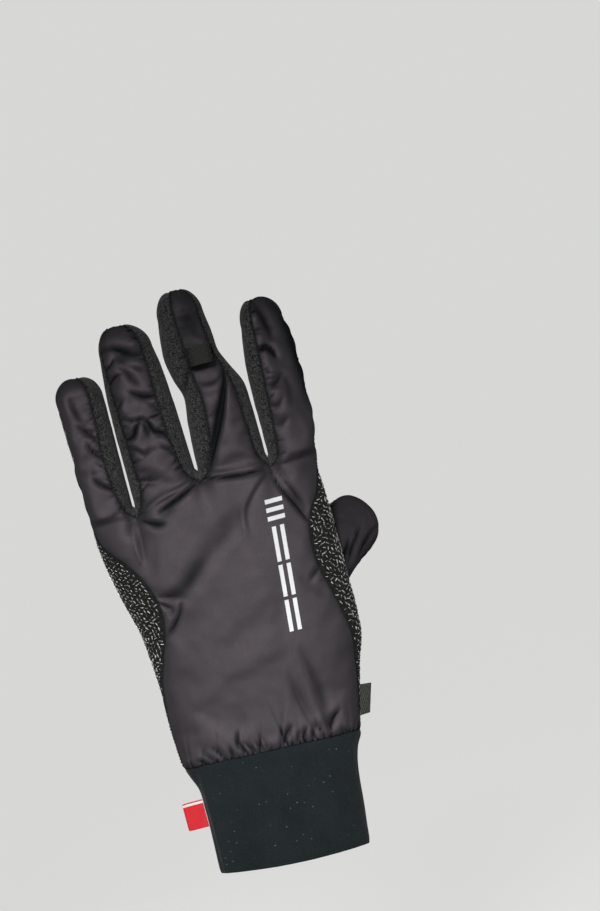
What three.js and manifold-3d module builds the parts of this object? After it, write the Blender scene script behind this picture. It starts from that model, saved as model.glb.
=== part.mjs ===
// Windproof glove for the left hand, insulated, hanging fingers up from its loop.
// Millimetres, +Z up. The back of the hand faces -Y, the thumb side is +X, the palm faces +Y.
// The origin is inside the hang loop, where whatever holds the glove up passes through.
import * as THREE from 'three';
import { mergeVertices } from 'three/addons/utils/BufferGeometryUtils.js';
import Module from 'manifold-3d';

const wasm = await Module();
wasm.setup();

// Wall of each material: the back is padded, the others are plain cloth
const BACK_WALL = 2.8;
const PALM_WALL = 2.0;
const FLEECE_WALL = 1.7;
const CUFF_WALL = 2.2;
const THUMB_WALL = 2.2;

// Half of the gap that two sewn panels keep, and how far a sharp corner may be drawn back
const HALF_GAP = 0.16;
const MAX_CORNER_PULL = 4;
const MAX_MITRE = 1.4;

// Points closer than this are one point, and edges shorter than this go where a piece has been cut
const MERGE_DISTANCE = 1e-4;
const CUT_TOLERANCE = 0.02;

// Sections are rounder than a box and squarer than an ellipse
const HAND_POWER = 2.5;
const FINGER_POWER = 2.5;
const CUFF_POWER = 2.3;

// How many strips of faces lie across each finger's back and palm, pinky first, and between them
const STRIPS = [6, 7, 7, 7];
const FLEECE_STRIPS = 4;
const HAND_RINGS = 19;

// Heights of the shell's lower end on the pinky side and on the thumb side
const WRIST = { left: -176.5, right: -180 };

// The hand: outer edges, and where the back panel's seams lie as seen from the front
const HAND_ROWS = [
  { z: -180, left: -57.6, right: 25.4, seamLeft: -57.6, seamRight: 25.4, midY: 16.8, halfDepth: 11.0 },
  { z: -172, left: -58.4, right: 27.2, seamLeft: -58.4, seamRight: 27.2, midY: 16.8, halfDepth: 12.0 },
  { z: -160, left: -58.9, right: 30.0, seamLeft: -58.9, seamRight: 29.6, midY: 16.7, halfDepth: 12.6 },
  { z: -150, left: -59.0, right: 32.8, seamLeft: -58.8, seamRight: 31.2, midY: 16.6, halfDepth: 13.2 },
  { z: -137, left: -58.6, right: 36.8, seamLeft: -57.3, seamRight: 32.8, midY: 16.5, halfDepth: 14.0 },
  { z: -125, left: -59.4, right: 37.6, seamLeft: -53.6, seamRight: 31.4, midY: 16.5, halfDepth: 14.6 },
  { z: -114, left: -60.4, right: 37.7, seamLeft: -49.8, seamRight: 29.0, midY: 16.5, halfDepth: 15.0 },
  { z: -103, left: -63.0, right: 37.7, seamLeft: -48.8, seamRight: 26.2, midY: 16.5, halfDepth: 15.2 },
  { z: -91, left: -66.0, right: 37.7, seamLeft: -52.2, seamRight: 25.8, midY: 16.4, halfDepth: 15.0 },
  { z: -80, left: -68.0, right: 37.6, seamLeft: -58.8, seamRight: 28.2, midY: 16.1, halfDepth: 14.2 },
  { z: -70, left: -69.1, right: 37.3, seamLeft: -67.0, seamRight: 34.0, midY: 15.7, halfDepth: 13.2 },
  { z: -60, left: -69.6, right: 37.2, seamLeft: -69.6, seamRight: 37.2, midY: 15.2, halfDepth: 12.0 },
  { z: -52, left: -69.8, right: 38.4, seamLeft: -69.8, seamRight: 38.4, midY: 15.0, halfDepth: 11.0 },
];

// Where two fingers part, and where the line down from there meets the wrist
const CROTCHES = [
  { x: -48.4, z: -60.5, wristX: -37 },
  { x: -16.3, z: -51.5, wristX: -16 },
  { x: 16.1, z: -53.5, wristX: 5 },
];
const KNUCKLE = { left: -60, right: -54 };
const PALM_CROTCH_RISE = 4;
const CROTCH_VALLEY = { depth: 3.4, halfWidth: 4.5, reach: 9 };
const CROTCH_SADDLE = 2;

// Fingers, pinky first. A finger's outer seam with no value runs round its silhouette
const FINGERS = [
  {
    name: 'pinky',
    tip: { x: -60.4, z: 8.8, height: 10, y: 20 },
    rows: [
      { z: -60, left: -69.6, right: -49.2, seamRight: -51.0, midY: 15.2, halfDepth: 9.6 },
      { z: -52, left: -69.8, right: -49.1, seamRight: -53.6, midY: 15.0, halfDepth: 9.4 },
      { z: -44, left: -70.0, right: -49.1, seamRight: -55.2, midY: 15.0, halfDepth: 9.3 },
      { z: -30, left: -70.5, right: -49.1, seamRight: -56.1, midY: 15.2, halfDepth: 9.1 },
      { z: -12, left: -71.0, right: -49.0, seamRight: -55.1, midY: 16.2, halfDepth: 8.9 },
      { z: -1, left: -70.8, right: -49.2, seamRight: -55.1, midY: 17.6, halfDepth: 8.6 },
    ],
  },
  {
    name: 'ring',
    tip: { x: -36.4, z: 27.2, height: 13, y: 22 },
    rows: [
      { z: -60, left: -48.0, right: -16.8, seamLeft: -46.6, seamRight: -17.4, midY: 15.0, halfDepth: 10.2 },
      { z: -50, left: -48.1, right: -17.2, seamLeft: -43.7, seamRight: -18.9, midY: 14.8, halfDepth: 10.0 },
      { z: -44, left: -48.1, right: -17.5, seamLeft: -43.9, seamRight: -22.0, midY: 14.8, halfDepth: 9.9 },
      { z: -28, left: -48.1, right: -18.1, seamLeft: -44.5, seamRight: -24.5, midY: 14.8, halfDepth: 9.8 },
      { z: -10, left: -48.0, right: -18.9, seamLeft: -45.0, seamRight: -25.4, midY: 15.4, halfDepth: 9.7 },
      { z: 4, left: -47.3, right: -20.0, seamLeft: -45.6, seamRight: -25.5, midY: 16.6, halfDepth: 9.6 },
      { z: 14, left: -46.4, right: -21.6, seamLeft: -45.6, seamRight: -25.9, midY: 18.4, halfDepth: 9.3 },
    ],
  },
  {
    name: 'middle',
    tip: { x: -6.4, z: 36.2, height: 12, y: 24.4 },
    rows: [
      { z: -52, left: -15.9, right: 15.6, seamLeft: -15.0, seamRight: 14.6, midY: 14.8, halfDepth: 10.4 },
      { z: -46, left: -16.0, right: 15.6, seamLeft: -10.8, seamRight: 12.1, midY: 14.6, halfDepth: 10.4 },
      { z: -38, left: -15.8, right: 15.6, seamLeft: -8.0, seamRight: 11.6, midY: 14.4, halfDepth: 10.4 },
      { z: -26, left: -15.0, right: 15.2, seamLeft: -6.2, seamRight: 10.8, midY: 14.2, halfDepth: 10.2 },
      { z: -14, left: -13.8, right: 14.5, seamLeft: -5.9, seamRight: 10.1, midY: 14.2, halfDepth: 9.8 },
      { z: -5, left: -16.2, right: 10.6, seamLeft: -7.2, seamRight: 8.0, midY: 14.0, halfDepth: 8.2 },
      { z: 3, left: -17.9, right: 7.2, seamLeft: -7.9, seamRight: 5.4, midY: 13.6, halfDepth: 8.8 },
      { z: 12, left: -17.8, right: 6.4, seamLeft: -8.0, seamRight: 4.2, midY: 16.0, halfDepth: 9.2 },
      { z: 24, left: -16.4, right: 4.8, seamLeft: -8.8, seamRight: 3.0, midY: 20.6, halfDepth: 9.2 },
    ],
  },
  {
    name: 'index',
    tip: { x: 28.6, z: 23.2, height: 12, y: 24 },
    rows: [
      { z: -54, left: 16.5, right: 38.2, seamLeft: 17.4, midY: 15.0, halfDepth: 10.2 },
      { z: -50, left: 16.6, right: 38.8, seamLeft: 20.4, midY: 14.9, halfDepth: 10.1 },
      { z: -40, left: 16.7, right: 40.8, seamLeft: 22.0, midY: 14.8, halfDepth: 9.8 },
      { z: -24, left: 16.8, right: 41.5, seamLeft: 23.2, midY: 15.0, halfDepth: 9.6 },
      { z: -8, left: 17.2, right: 41.0, seamLeft: 24.2, midY: 16.2, halfDepth: 9.4 },
      { z: 4, left: 18.4, right: 39.9, seamLeft: 24.8, midY: 18.0, halfDepth: 9.2 },
      { z: 11, left: 19.6, right: 38.2, seamLeft: 25.1, midY: 19.6, halfDepth: 9.0 },
    ],
  },
];
const FLEECE_NODES = CROTCHES.map((crotch, i) => `fourchette_${FINGERS[i].name}_${FINGERS[i + 1].name}`);
const FINGER_STEPS = [0, 0.05, 0.14, 0.26, 0.39, 0.52, 0.65, 0.78, 0.9, 1];
const OUTER_SEAM_ANGLE = THREE.MathUtils.degToRad(186);

// A fingertip closes over these angles, to a short seam across the finger
const TIP_ANGLES = [26, 50, 71, 90].map(THREE.MathUtils.degToRad);
const TIP_SEAM_SHARE = 0.24;
const TIP_SEAM_SPLAY = 0.5;
const TIP_ROUNDNESS = 1.15;

// Folds and dents of the back: a valley (or with a minus depth a ridge) from one point to another
const FOLDS = {
  knuckleValley: { x0: 2, z0: -68, x1: -42, z1: -100, depth: 2.0, halfWidth: 5.5 },
  knuckleRidge: { x0: -4, z0: -76, x1: -38, z1: -104, depth: -0.9, halfWidth: 6 },
  pinkyCrotchPull: { x0: -44, z0: -62, x1: -35, z1: -66, depth: 1.8, halfWidth: 2.8 },
  ringCrotchPull: { x0: -18, z0: -53, x1: -38, z1: -60, depth: 2.2, halfWidth: 3.2 },
  middleRoot: { x0: -14, z0: -52.5, x1: 12, z1: -54, depth: 1.9, halfWidth: 3.2 },
  indexCrotchPull: { x0: 16.5, z0: -56, x1: 27, z1: -77, depth: 2.0, halfWidth: 3.2 },
  indexCrotchRidge: { x0: 12, z0: -56, x1: -2, z1: -80, depth: -0.8, halfWidth: 3.4 },
  pinkyRidge: { x0: -49.5, z0: -63, x1: -49.5, z1: -86, depth: -0.9, halfWidth: 3 },
  bandDimple: { x0: -47, z0: -99, x1: -42, z1: -108, depth: 1.6, halfWidth: 4 },
  cuffFold: { x0: 5, z0: -128, x1: 13, z1: -174, depth: 1.8, halfWidth: 3.6 },
  cuffRidge: { x0: 3, z0: -150, x1: 6, z1: -174, depth: -1.0, halfWidth: 3.2 },
  wristDent: { x0: -25, z0: -156, x1: -26, z1: -166, depth: 1.0, halfWidth: 5 },
  middleFingerCrease: { x0: 7, z0: -8, x1: -8, z1: -46, depth: 2.6, halfWidth: 3.2 },
  ringFingerDents: { x0: -42, z0: 16, x1: -28, z1: 13, depth: 1.2, halfWidth: 3 },
  ringFingerBend: { x0: -38, z0: -4, x1: -27, z1: -8, depth: 1.2, halfWidth: 3 },
  ringFingerRoot: { x0: -42, z0: -24, x1: -27, z1: -30, depth: 1.2, halfWidth: 3.4 },
  indexDent: { x0: 27, z0: 1, x1: 31, z1: -5, depth: 1.8, halfWidth: 3 },
  indexBend: { x0: 24, z0: -18, x1: 34, z1: -20, depth: 0.9, halfWidth: 3.2 },
  pinkyBend: { x0: -64, z0: -14, x1: -57, z1: -22, depth: 1.0, halfWidth: 3 },
};
const FOLD_FADE = 0.25;
const FOLD_FACING = { from: 0.2, full: 0.8 };

// The shell is gathered where it is sewn to the cuff
const GATHERS = { halfDepth: 0.45, height: 9 };

// Thumb: its path from inside the palm to the tip, and its half width and half depth
const THUMB_ROWS = [
  { at: 0, x: 14, y: 20, z: -112, halfWidth: 22.0, halfDepth: 15.0 },
  { at: 1, x: 27, y: 32, z: -101.5, halfWidth: 16.0, halfDepth: 13.5 },
  { at: 2, x: 37.5, y: 43, z: -94.5, halfWidth: 13.2, halfDepth: 12.6 },
  { at: 3, x: 44, y: 55, z: -89, halfWidth: 12.8, halfDepth: 12.0 },
  { at: 4, x: 41, y: 65.5, z: -87, halfWidth: 12.0, halfDepth: 11.2 },
  { at: 5, x: 32.5, y: 71, z: -85, halfWidth: 11.0, halfDepth: 10.0 },
];
const THUMB_RINGS = 10;
const THUMB_CURL_CENTRE = new THREE.Vector3(18, 56, -100);
const THUMB_TIP_HEIGHT = 10;
const THUMB_STRIPS = 9;
const THUMB_HOLLOW_LEAD = 9;
const THUMB_SEAT_GAP = 0.3;

// Cuff: a knitted tube from the shell's lower end to the hem
const CUFF_HEM = { left: -225.6, right: -229.6, bow: -1.6 };
const CUFF_TOP_GAP = 0.35;
const CUFF_RINGS = 7;
const CUFF_STRIPS = 36;
const CUFF_ROWS = [
  { z: -176.5, left: -57.6, right: 25.6, midY: 16.8, halfDepth: 11.0 },
  { z: -180.5, left: -55.8, right: 25.2, midY: 16.8, halfDepth: 10.6 },
  { z: -187, left: -53.7, right: 22.0, midY: 16.9, halfDepth: 10.1 },
  { z: -196, left: -53.4, right: 19.9, midY: 17.0, halfDepth: 9.7 },
  { z: -212, left: -53.5, right: 17.8, midY: 17.0, halfDepth: 9.3 },
  { z: -230, left: -53.6, right: 15.8, midY: 17.0, halfDepth: 8.8 },
];

// Small pieces sewn into the seams
const LABEL = { left: -62.4, right: -53.9, top: -190.6, bottom: -203.4, thickness: 1.0, corner: 1.2, y: 17 };
const TAB = {
  left: 31.0, right: 36.2, lowerLeft: 28.4, top: -158.6, bottom: -172.2, taper: 2.6, thickness: 1.8, y: 16.7,
};
const LOOP = {
  seamX: -7.4, endX: 4.3, top: 8.1, bottom: -0.7, opening: 5.8, tape: 1.1, seamY: 2.7, lead: 4.4, tailY: 5.15,
};
const LOOP_CURVE_STEPS = 5;
const LABEL_CORNER_STEPS = 4;

const FINISHES = {
  nylon: { color: 0x4a4547, roughness: 0.55 },
  grip: { color: 0x2b2b29, roughness: 0.85 },
  fleece: { color: 0x232425, roughness: 0.95 },
  knit: { color: 0x1d2527, roughness: 0.95 },
  ribbon: { color: 0xb5222c, roughness: 0.6 },
  tape: { color: 0x2a2c28, roughness: 0.8 },
};

function mix(a, b, share) {
  return a + (b - a) * share;
}

function smooth(low, high, value) {
  const share = THREE.MathUtils.clamp((value - low) / (high - low), 0, 1);
  return share * share * (3 - 2 * share);
}

// A smooth curve through one column of a table, read at any place along its key column
function readTable(rows, column, value, key = 'z') {
  const sorted = rows[0][key] < rows[rows.length - 1][key] ? rows : [...rows].reverse();
  const last = sorted.length - 1;
  if (value <= sorted[0][key]) return sorted[0][column];
  if (value >= sorted[last][key]) return sorted[last][column];
  const i = sorted.findIndex((row) => row[key] > value) - 1;
  const slope = (k) => {
    const low = Math.max(k - 1, 0);
    const high = Math.min(k + 1, last);
    return (sorted[high][column] - sorted[low][column]) / (sorted[high][key] - sorted[low][key]);
  };
  const span = sorted[i + 1][key] - sorted[i][key];
  const t = (value - sorted[i][key]) / span;
  const start = sorted[i][column] * (2 * t ** 3 - 3 * t ** 2 + 1);
  const end = sorted[i + 1][column] * (3 * t ** 2 - 2 * t ** 3);
  const bend = slope(i) * (t ** 3 - 2 * t ** 2 + t) + slope(i + 1) * (t ** 3 - t ** 2);
  return start + end + bend * span;
}

// One point of a rounded section. Angle 0 is the +X edge, a quarter turn is the back, at -Y
function sectionPoint(section, angle, z) {
  const round = (value) => Math.sign(value) * Math.abs(value) ** (2 / section.power);
  const x = section.midX + section.halfWidth * round(Math.cos(angle));
  const y = section.midY - section.halfDepth * round(Math.sin(angle));
  return new THREE.Vector3(x, y, z);
}

// The angle at which a section passes x, on its back
function angleAtX(section, x) {
  const share = THREE.MathUtils.clamp((x - section.midX) / section.halfWidth, -1, 1);
  return Math.acos(Math.sign(share) * Math.abs(share) ** (section.power / 2));
}

// The outer surface as quads, each of one panel, over one list of shared points
class Skin {
  constructor() {
    this.points = [];
    this.quads = [];
    this.fixedNormals = new Map();
  }

  add(point) {
    this.points.push(point);
    return this.points.length - 1;
  }

  // Quads between two rows of points, the upper row lying on the outside's left-hand way up
  strip(panel, lower, upper) {
    for (let j = 0; j + 1 < lower.length; j += 1) {
      this.quads.push({ panel, corners: [lower[j], lower[j + 1], upper[j + 1], upper[j]] });
    }
  }

  triangles(quads = this.quads) {
    const result = [];
    for (const { corners: [a, b, c, d] } of quads) {
      if (a !== b && b !== c && a !== c) result.push([a, b, c]);
      if (a !== c && c !== d && a !== d) result.push([a, c, d]);
    }
    return result;
  }

  normals() {
    const sums = this.points.map(() => new THREE.Vector3());
    for (const [a, b, c] of this.triangles()) {
      const face = faceNormal(this.points[a], this.points[b], this.points[c]);
      for (const corner of [a, b, c]) sums[corner].add(face);
    }
    sums.forEach((sum) => sum.normalize());
    for (const [index, normal] of this.fixedNormals) sums[index].copy(normal);
    return sums;
  }

  // Moves each point along its normal by what height(point, normal, index) gives
  displace(height) {
    const normals = this.normals();
    const shifts = this.points.map((point, index) => height(point, normals[index], index));
    this.points.forEach((point, index) => point.addScaledVector(normals[index], shifts[index]));
  }
}

function faceNormal(a, b, c) {
  const ab = new THREE.Vector3().subVectors(b, a);
  const ac = new THREE.Vector3().subVectors(c, a);
  return ab.cross(ac);
}

function geometryFrom(points, triangles) {
  const geometry = new THREE.BufferGeometry();
  const positions = points.flatMap((point) => [point.x, point.y, point.z]);
  geometry.setAttribute('position', new THREE.Float32BufferAttribute(positions, 3));
  geometry.setIndex(triangles.flat());
  return geometry;
}

// One panel as a solid: its outer face, drawn back at its edges, an inner face and the edge walls
function panelGeometry(skin, panel, wall) {
  const normals = skin.normals();
  const faces = skin.triangles(skin.quads.filter((quad) => quad.panel === panel));
  const halfEdges = new Map();
  for (const [a, b, c] of faces) {
    const normal = faceNormal(skin.points[a], skin.points[b], skin.points[c]).normalize();
    halfEdges.set(`${a},${b}`, { a, b, normal });
    halfEdges.set(`${b},${c}`, { a: b, b: c, normal });
    halfEdges.set(`${c},${a}`, { a: c, b: a, normal });
  }
  const rim = [...halfEdges.values()].filter(({ a, b }) => !halfEdges.has(`${b},${a}`));
  const inward = new Map();
  for (const { a, b, normal } of rim) {
    const along = new THREE.Vector3().subVectors(skin.points[b], skin.points[a]);
    const away = new THREE.Vector3().crossVectors(normal, along).normalize();
    for (const end of [a, b]) inward.set(end, [...(inward.get(end) ?? []), away]);
  }
  const used = [...new Set(faces.flat())];
  const place = new Map(used.map((index, order) => [index, order]));
  const outer = used.map((index) => {
    const point = skin.points[index].clone();
    const [first, second = first] = inward.get(index) ?? [];
    if (!first) return point;
    const pull = HALF_GAP / Math.max(1 + first.dot(second), 2 / MAX_CORNER_PULL);
    return point.addScaledVector(first, pull).addScaledVector(second, pull);
  });
  const inner = used.map((index, order) => {
    const around = faces.filter((face) => face.includes(index));
    const facing = around.map(([a, b, c]) => {
      const normal = faceNormal(skin.points[a], skin.points[b], skin.points[c]).normalize();
      return normal.dot(normals[index]);
    });
    const lean = facing.reduce((sum, value) => sum + value, 0) / facing.length;
    const depth = wall / Math.max(lean, 1 / MAX_MITRE);
    return outer[order].clone().addScaledVector(normals[index], -depth);
  });
  const count = used.length;
  const triangles = [];
  for (const [a, b, c] of faces.map((face) => face.map((index) => place.get(index)))) {
    triangles.push([a, b, c], [a + count, c + count, b + count]);
  }
  for (const edge of rim) {
    const a = place.get(edge.a);
    const b = place.get(edge.b);
    const split = edge.a < edge.b
      ? [[b, a, a + count], [b, a + count, b + count]]
      : [[b, a, b + count], [a, a + count, b + count]];
    triangles.push(...split);
  }
  return geometryFrom([...outer, ...inner], triangles);
}

// Booleans
function toSolid(geometry) {
  const bare = geometry.clone();
  bare.deleteAttribute('normal');
  bare.deleteAttribute('uv');
  const merged = mergeVertices(bare, MERGE_DISTANCE);
  const vertProperties = new Float32Array(merged.attributes.position.array);
  const triVerts = new Uint32Array(merged.index.array);
  return new wasm.Manifold(new wasm.Mesh({ numProp: 3, vertProperties, triVerts }));
}

function fromSolid(solid) {
  const mesh = solid.simplify(CUT_TOLERANCE).getMesh();
  const geometry = new THREE.BufferGeometry();
  const positions = [];
  for (let i = 0; i < mesh.vertProperties.length; i += mesh.numProp) {
    positions.push(mesh.vertProperties[i], mesh.vertProperties[i + 1], mesh.vertProperties[i + 2]);
  }
  geometry.setAttribute('position', new THREE.Float32BufferAttribute(positions, 3));
  geometry.setIndex([...mesh.triVerts]);
  return geometry;
}

// Rows of angles and heights along an arc, from one anchor to the next
function arcBetween(start, end, strips) {
  const arc = [];
  for (let j = 0; j <= strips; j += 1) {
    const share = j / strips;
    arc.push({ angle: mix(start.angle, end.angle, share), z: mix(start.z, end.z, share) });
  }
  return arc;
}

// Pulls a point towards the middle of the hand near where two fingers part
function crotchValley(point, section) {
  const side = Math.sign(section.midY - point.y);
  let pull = 0;
  for (const crotch of CROTCHES) {
    const across = Math.exp(-(((point.x - crotch.x) / CROTCH_VALLEY.halfWidth) ** 2));
    const below = Math.exp(-Math.max(crotch.z - point.z, 0) / CROTCH_VALLEY.reach);
    pull = Math.max(pull, across * below);
  }
  point.y += side * CROTCH_VALLEY.depth * pull;
  return point;
}

// The ring of points round the hand at one level, 0 at the wrist and 1 at the knuckles
function handRing(skin, level) {
  const leftZ = mix(WRIST.left, KNUCKLE.left, level);
  const rightZ = mix(WRIST.right, KNUCKLE.right, level);
  const middleZ = (leftZ + rightZ) / 2;
  const left = readTable(HAND_ROWS, 'left', leftZ);
  const right = readTable(HAND_ROWS, 'right', rightZ);
  const section = {
    midX: (left + right) / 2,
    halfWidth: (right - left) / 2,
    midY: readTable(HAND_ROWS, 'midY', middleZ),
    halfDepth: readTable(HAND_ROWS, 'halfDepth', middleZ),
    power: HAND_POWER,
  };
  const crotchAnchors = CROTCHES.map((crotch) => {
    const x = mix(crotch.wristX, crotch.x, smooth(0, 1, level));
    const wristZ = mix(WRIST.left, WRIST.right, (x - left) / (right - left));
    return { angle: angleAtX(section, x), z: mix(wristZ, crotch.z, level), rise: PALM_CROTCH_RISE * level };
  });
  const leftSeam = { angle: angleAtX(section, readTable(HAND_ROWS, 'seamLeft', leftZ)), z: leftZ };
  const rightSeam = { angle: angleAtX(section, readTable(HAND_ROWS, 'seamRight', rightZ)), z: rightZ };
  const palmAnchors = crotchAnchors.map(({ angle, z, rise }) => ({ angle: -angle, z: z + rise })).reverse();
  const fullTurn = 2 * Math.PI;
  const anchors = [leftSeam, ...crotchAnchors, rightSeam, ...palmAnchors,
    { angle: leftSeam.angle - fullTurn, z: leftZ }];
  const ring = [];
  [...STRIPS, ...[...STRIPS].reverse()].forEach((count, k) => {
    for (const { angle, z } of arcBetween(anchors[k], anchors[k + 1], count).slice(0, -1)) {
      ring.push(skin.add(crotchValley(sectionPoint(section, angle, z), section)));
    }
  });
  ring.push(ring[0]);
  return ring;
}

// The saddle between two fingers, from the back of the hand to the palm
function crotchBridge(skin, backIndex, palmIndex) {
  const bridge = [backIndex];
  for (let j = 1; j < FLEECE_STRIPS; j += 1) {
    const share = j / FLEECE_STRIPS;
    const point = skin.points[backIndex].clone().lerp(skin.points[palmIndex], share);
    point.z += CROTCH_SADDLE * Math.sin(Math.PI * share);
    bridge.push(skin.add(point));
  }
  bridge.push(palmIndex);
  return bridge;
}

// A finger's section between the heights that its two edges have at one level
function fingerSection(finger, leftZ, rightZ) {
  const middleZ = (leftZ + rightZ) / 2;
  const left = readTable(finger.rows, 'left', leftZ);
  const right = readTable(finger.rows, 'right', rightZ);
  return {
    midX: (left + right) / 2,
    halfWidth: (right - left) / 2,
    midY: readTable(finger.rows, 'midY', middleZ),
    halfDepth: readTable(finger.rows, 'halfDepth', middleZ),
    power: FINGER_POWER,
  };
}

// Where the four seams of a finger lie on its section, at the heights of its two edges
function fingerSeams(finger, section, leftZ, rightZ) {
  const hasLeft = finger.rows[0].seamLeft !== undefined;
  const hasRight = finger.rows[0].seamRight !== undefined;
  const outerLeft = OUTER_SEAM_ANGLE;
  const outerRight = Math.PI - OUTER_SEAM_ANGLE;
  const left = hasLeft ? angleAtX(section, readTable(finger.rows, 'seamLeft', leftZ)) : outerLeft;
  const right = hasRight ? angleAtX(section, readTable(finger.rows, 'seamRight', rightZ)) : outerRight;
  return {
    hasLeft,
    hasRight,
    backLeft: left,
    backRight: right,
    palmRight: hasRight ? -right : right,
    palmLeft: hasLeft ? -left : left - 2 * Math.PI,
  };
}

// One ring of a finger: the back arc, the right side, the palm arc and the left side
function fingerRing(skin, finger, order, shape) {
  const { section, seams, leftZ, rightZ, rise } = shape;
  const addAt = (angle) => {
    const point = sectionPoint(section, angle, 0);
    const across = (point.x - section.midX) / section.halfWidth / 2 + 0.5;
    const palmward = (point.y - section.midY) / section.halfDepth / 2 + 0.5;
    point.z = mix(leftZ, rightZ, across) + rise * palmward;
    return skin.add(point);
  };
  const addArc = (start, end, strips, first, last) => {
    const arc = [first ?? addAt(start)];
    for (let j = 1; j < strips; j += 1) arc.push(addAt(mix(start, end, j / strips)));
    arc.push(last ?? addAt(end));
    return arc;
  };
  const back = addArc(seams.backLeft, seams.backRight, STRIPS[order]);
  const backStart = back[0];
  const backEnd = back[back.length - 1];
  const right = seams.hasRight ? addArc(seams.backRight, seams.palmRight, FLEECE_STRIPS, backEnd) : [backEnd];
  const palmFirst = right[right.length - 1];
  const palmLast = seams.hasLeft ? undefined : backStart;
  const palm = addArc(seams.palmRight, seams.palmLeft, STRIPS[order], palmFirst, palmLast);
  const palmEnd = palm[palm.length - 1];
  const leftStart = seams.palmLeft;
  const left = seams.hasLeft
    ? addArc(leftStart, seams.backLeft - 2 * Math.PI, FLEECE_STRIPS, palmEnd, backStart)
    : [palmEnd];
  return { back, right, palm, left };
}

// A row of points along the short seam that closes a tip. Their normals point on along the tip
function tipSeamRow(skin, centre, along, across, halfLength, strips) {
  const row = [];
  for (let j = 0; j <= strips; j += 1) {
    const side = mix(-1, 1, j / strips);
    const index = skin.add(centre.clone().addScaledVector(across, side * halfLength));
    skin.fixedNormals.set(index, along.clone().addScaledVector(across, side * TIP_SEAM_SPLAY).normalize());
    row.push(index);
  }
  return row;
}

// The last ring of a finger, flat on its tip seam. The side strips run to the seam's two ends
function fingerTipRing(skin, finger, order, base, seams) {
  const centre = new THREE.Vector3(finger.tip.x, finger.tip.y, finger.tip.z);
  const halfLength = base.halfWidth * TIP_SEAM_SHARE;
  const row = tipSeamRow(skin, centre, new THREE.Vector3(0, 0, 1), new THREE.Vector3(1, 0, 0), halfLength,
    STRIPS[order]);
  return {
    back: row,
    right: seams.hasRight ? Array(FLEECE_STRIPS + 1).fill(row.at(-1)) : [row.at(-1)],
    palm: [...row].reverse(),
    left: seams.hasLeft ? Array(FLEECE_STRIPS + 1).fill(row[0]) : [row[0]],
  };
}

function joinFingerRings(skin, lower, upper, fleece) {
  skin.strip('back_shell', lower.back, upper.back);
  skin.strip('palm', lower.palm, upper.palm);
  skin.strip(fleece.right, lower.right, upper.right);
  skin.strip(fleece.left, lower.left, upper.left);
}

function addFinger(skin, finger, order, root, fleece) {
  const startLeft = order === 0 ? KNUCKLE.left : CROTCHES[order - 1].z;
  const startRight = order === FINGERS.length - 1 ? KNUCKLE.right : CROTCHES[order].z;
  const baseZ = finger.tip.z - finger.tip.height;
  let lower = root;
  let base;
  let seams;
  for (const step of FINGER_STEPS.slice(1)) {
    const leftZ = mix(startLeft, baseZ, step);
    const rightZ = mix(startRight, baseZ, step);
    base = fingerSection(finger, leftZ, rightZ);
    seams = fingerSeams(finger, base, leftZ, rightZ);
    const rise = PALM_CROTCH_RISE * (1 - step);
    const ring = fingerRing(skin, finger, order, { section: base, seams, leftZ, rightZ, rise });
    joinFingerRings(skin, lower, ring, fleece);
    lower = ring;
  }
  for (const angle of TIP_ANGLES.slice(0, -1)) {
    const closing = Math.cos(angle) ** TIP_ROUNDNESS;
    const z = baseZ + finger.tip.height * Math.sin(angle);
    const towardsTip = 1 - closing;
    const section = {
      midX: mix(base.midX, finger.tip.x, towardsTip),
      halfWidth: base.halfWidth * mix(TIP_SEAM_SHARE, 1, closing),
      midY: mix(base.midY, finger.tip.y, towardsTip),
      halfDepth: base.halfDepth * Math.cos(angle),
      power: FINGER_POWER,
    };
    const ring = fingerRing(skin, finger, order, { section, seams, leftZ: z, rightZ: z, rise: 0 });
    joinFingerRings(skin, lower, ring, fleece);
    lower = ring;
  }
  joinFingerRings(skin, lower, fingerTipRing(skin, finger, order, base, seams), fleece);
}

// The whole outer surface of hand and fingers, as panels
function buildHandSkin() {
  const skin = new Skin();
  const backCount = STRIPS.reduce((sum, count) => sum + count, 0);
  const rings = [];
  for (let i = 0; i < HAND_RINGS; i += 1) rings.push(handRing(skin, i / (HAND_RINGS - 1)));
  for (let i = 0; i + 1 < rings.length; i += 1) {
    skin.strip('back_shell', rings[i].slice(0, backCount + 1), rings[i + 1].slice(0, backCount + 1));
    skin.strip('palm', rings[i].slice(backCount), rings[i + 1].slice(backCount));
  }
  const knuckles = rings[rings.length - 1];
  const arcs = [];
  let start = 0;
  for (const count of [...STRIPS, ...[...STRIPS].reverse()]) {
    arcs.push(knuckles.slice(start, start + count + 1));
    start += count;
  }
  const backArcs = arcs.slice(0, FINGERS.length);
  const palmArcs = arcs.slice(FINGERS.length).reverse();
  const bridges = CROTCHES.map((crotch, i) => crotchBridge(skin, backArcs[i].at(-1), palmArcs[i][0]));
  FINGERS.forEach((finger, order) => {
    const leftBridge = order > 0 ? [...bridges[order - 1]].reverse() : [backArcs[order][0]];
    const rightBridge = bridges[order] ?? [backArcs[order].at(-1)];
    const root = { back: backArcs[order], right: rightBridge, palm: palmArcs[order], left: leftBridge };
    const fleece = { left: FLEECE_NODES[order - 1], right: FLEECE_NODES[order] };
    addFinger(skin, finger, order, root, fleece);
  });
  return { skin, rings };
}

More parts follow.
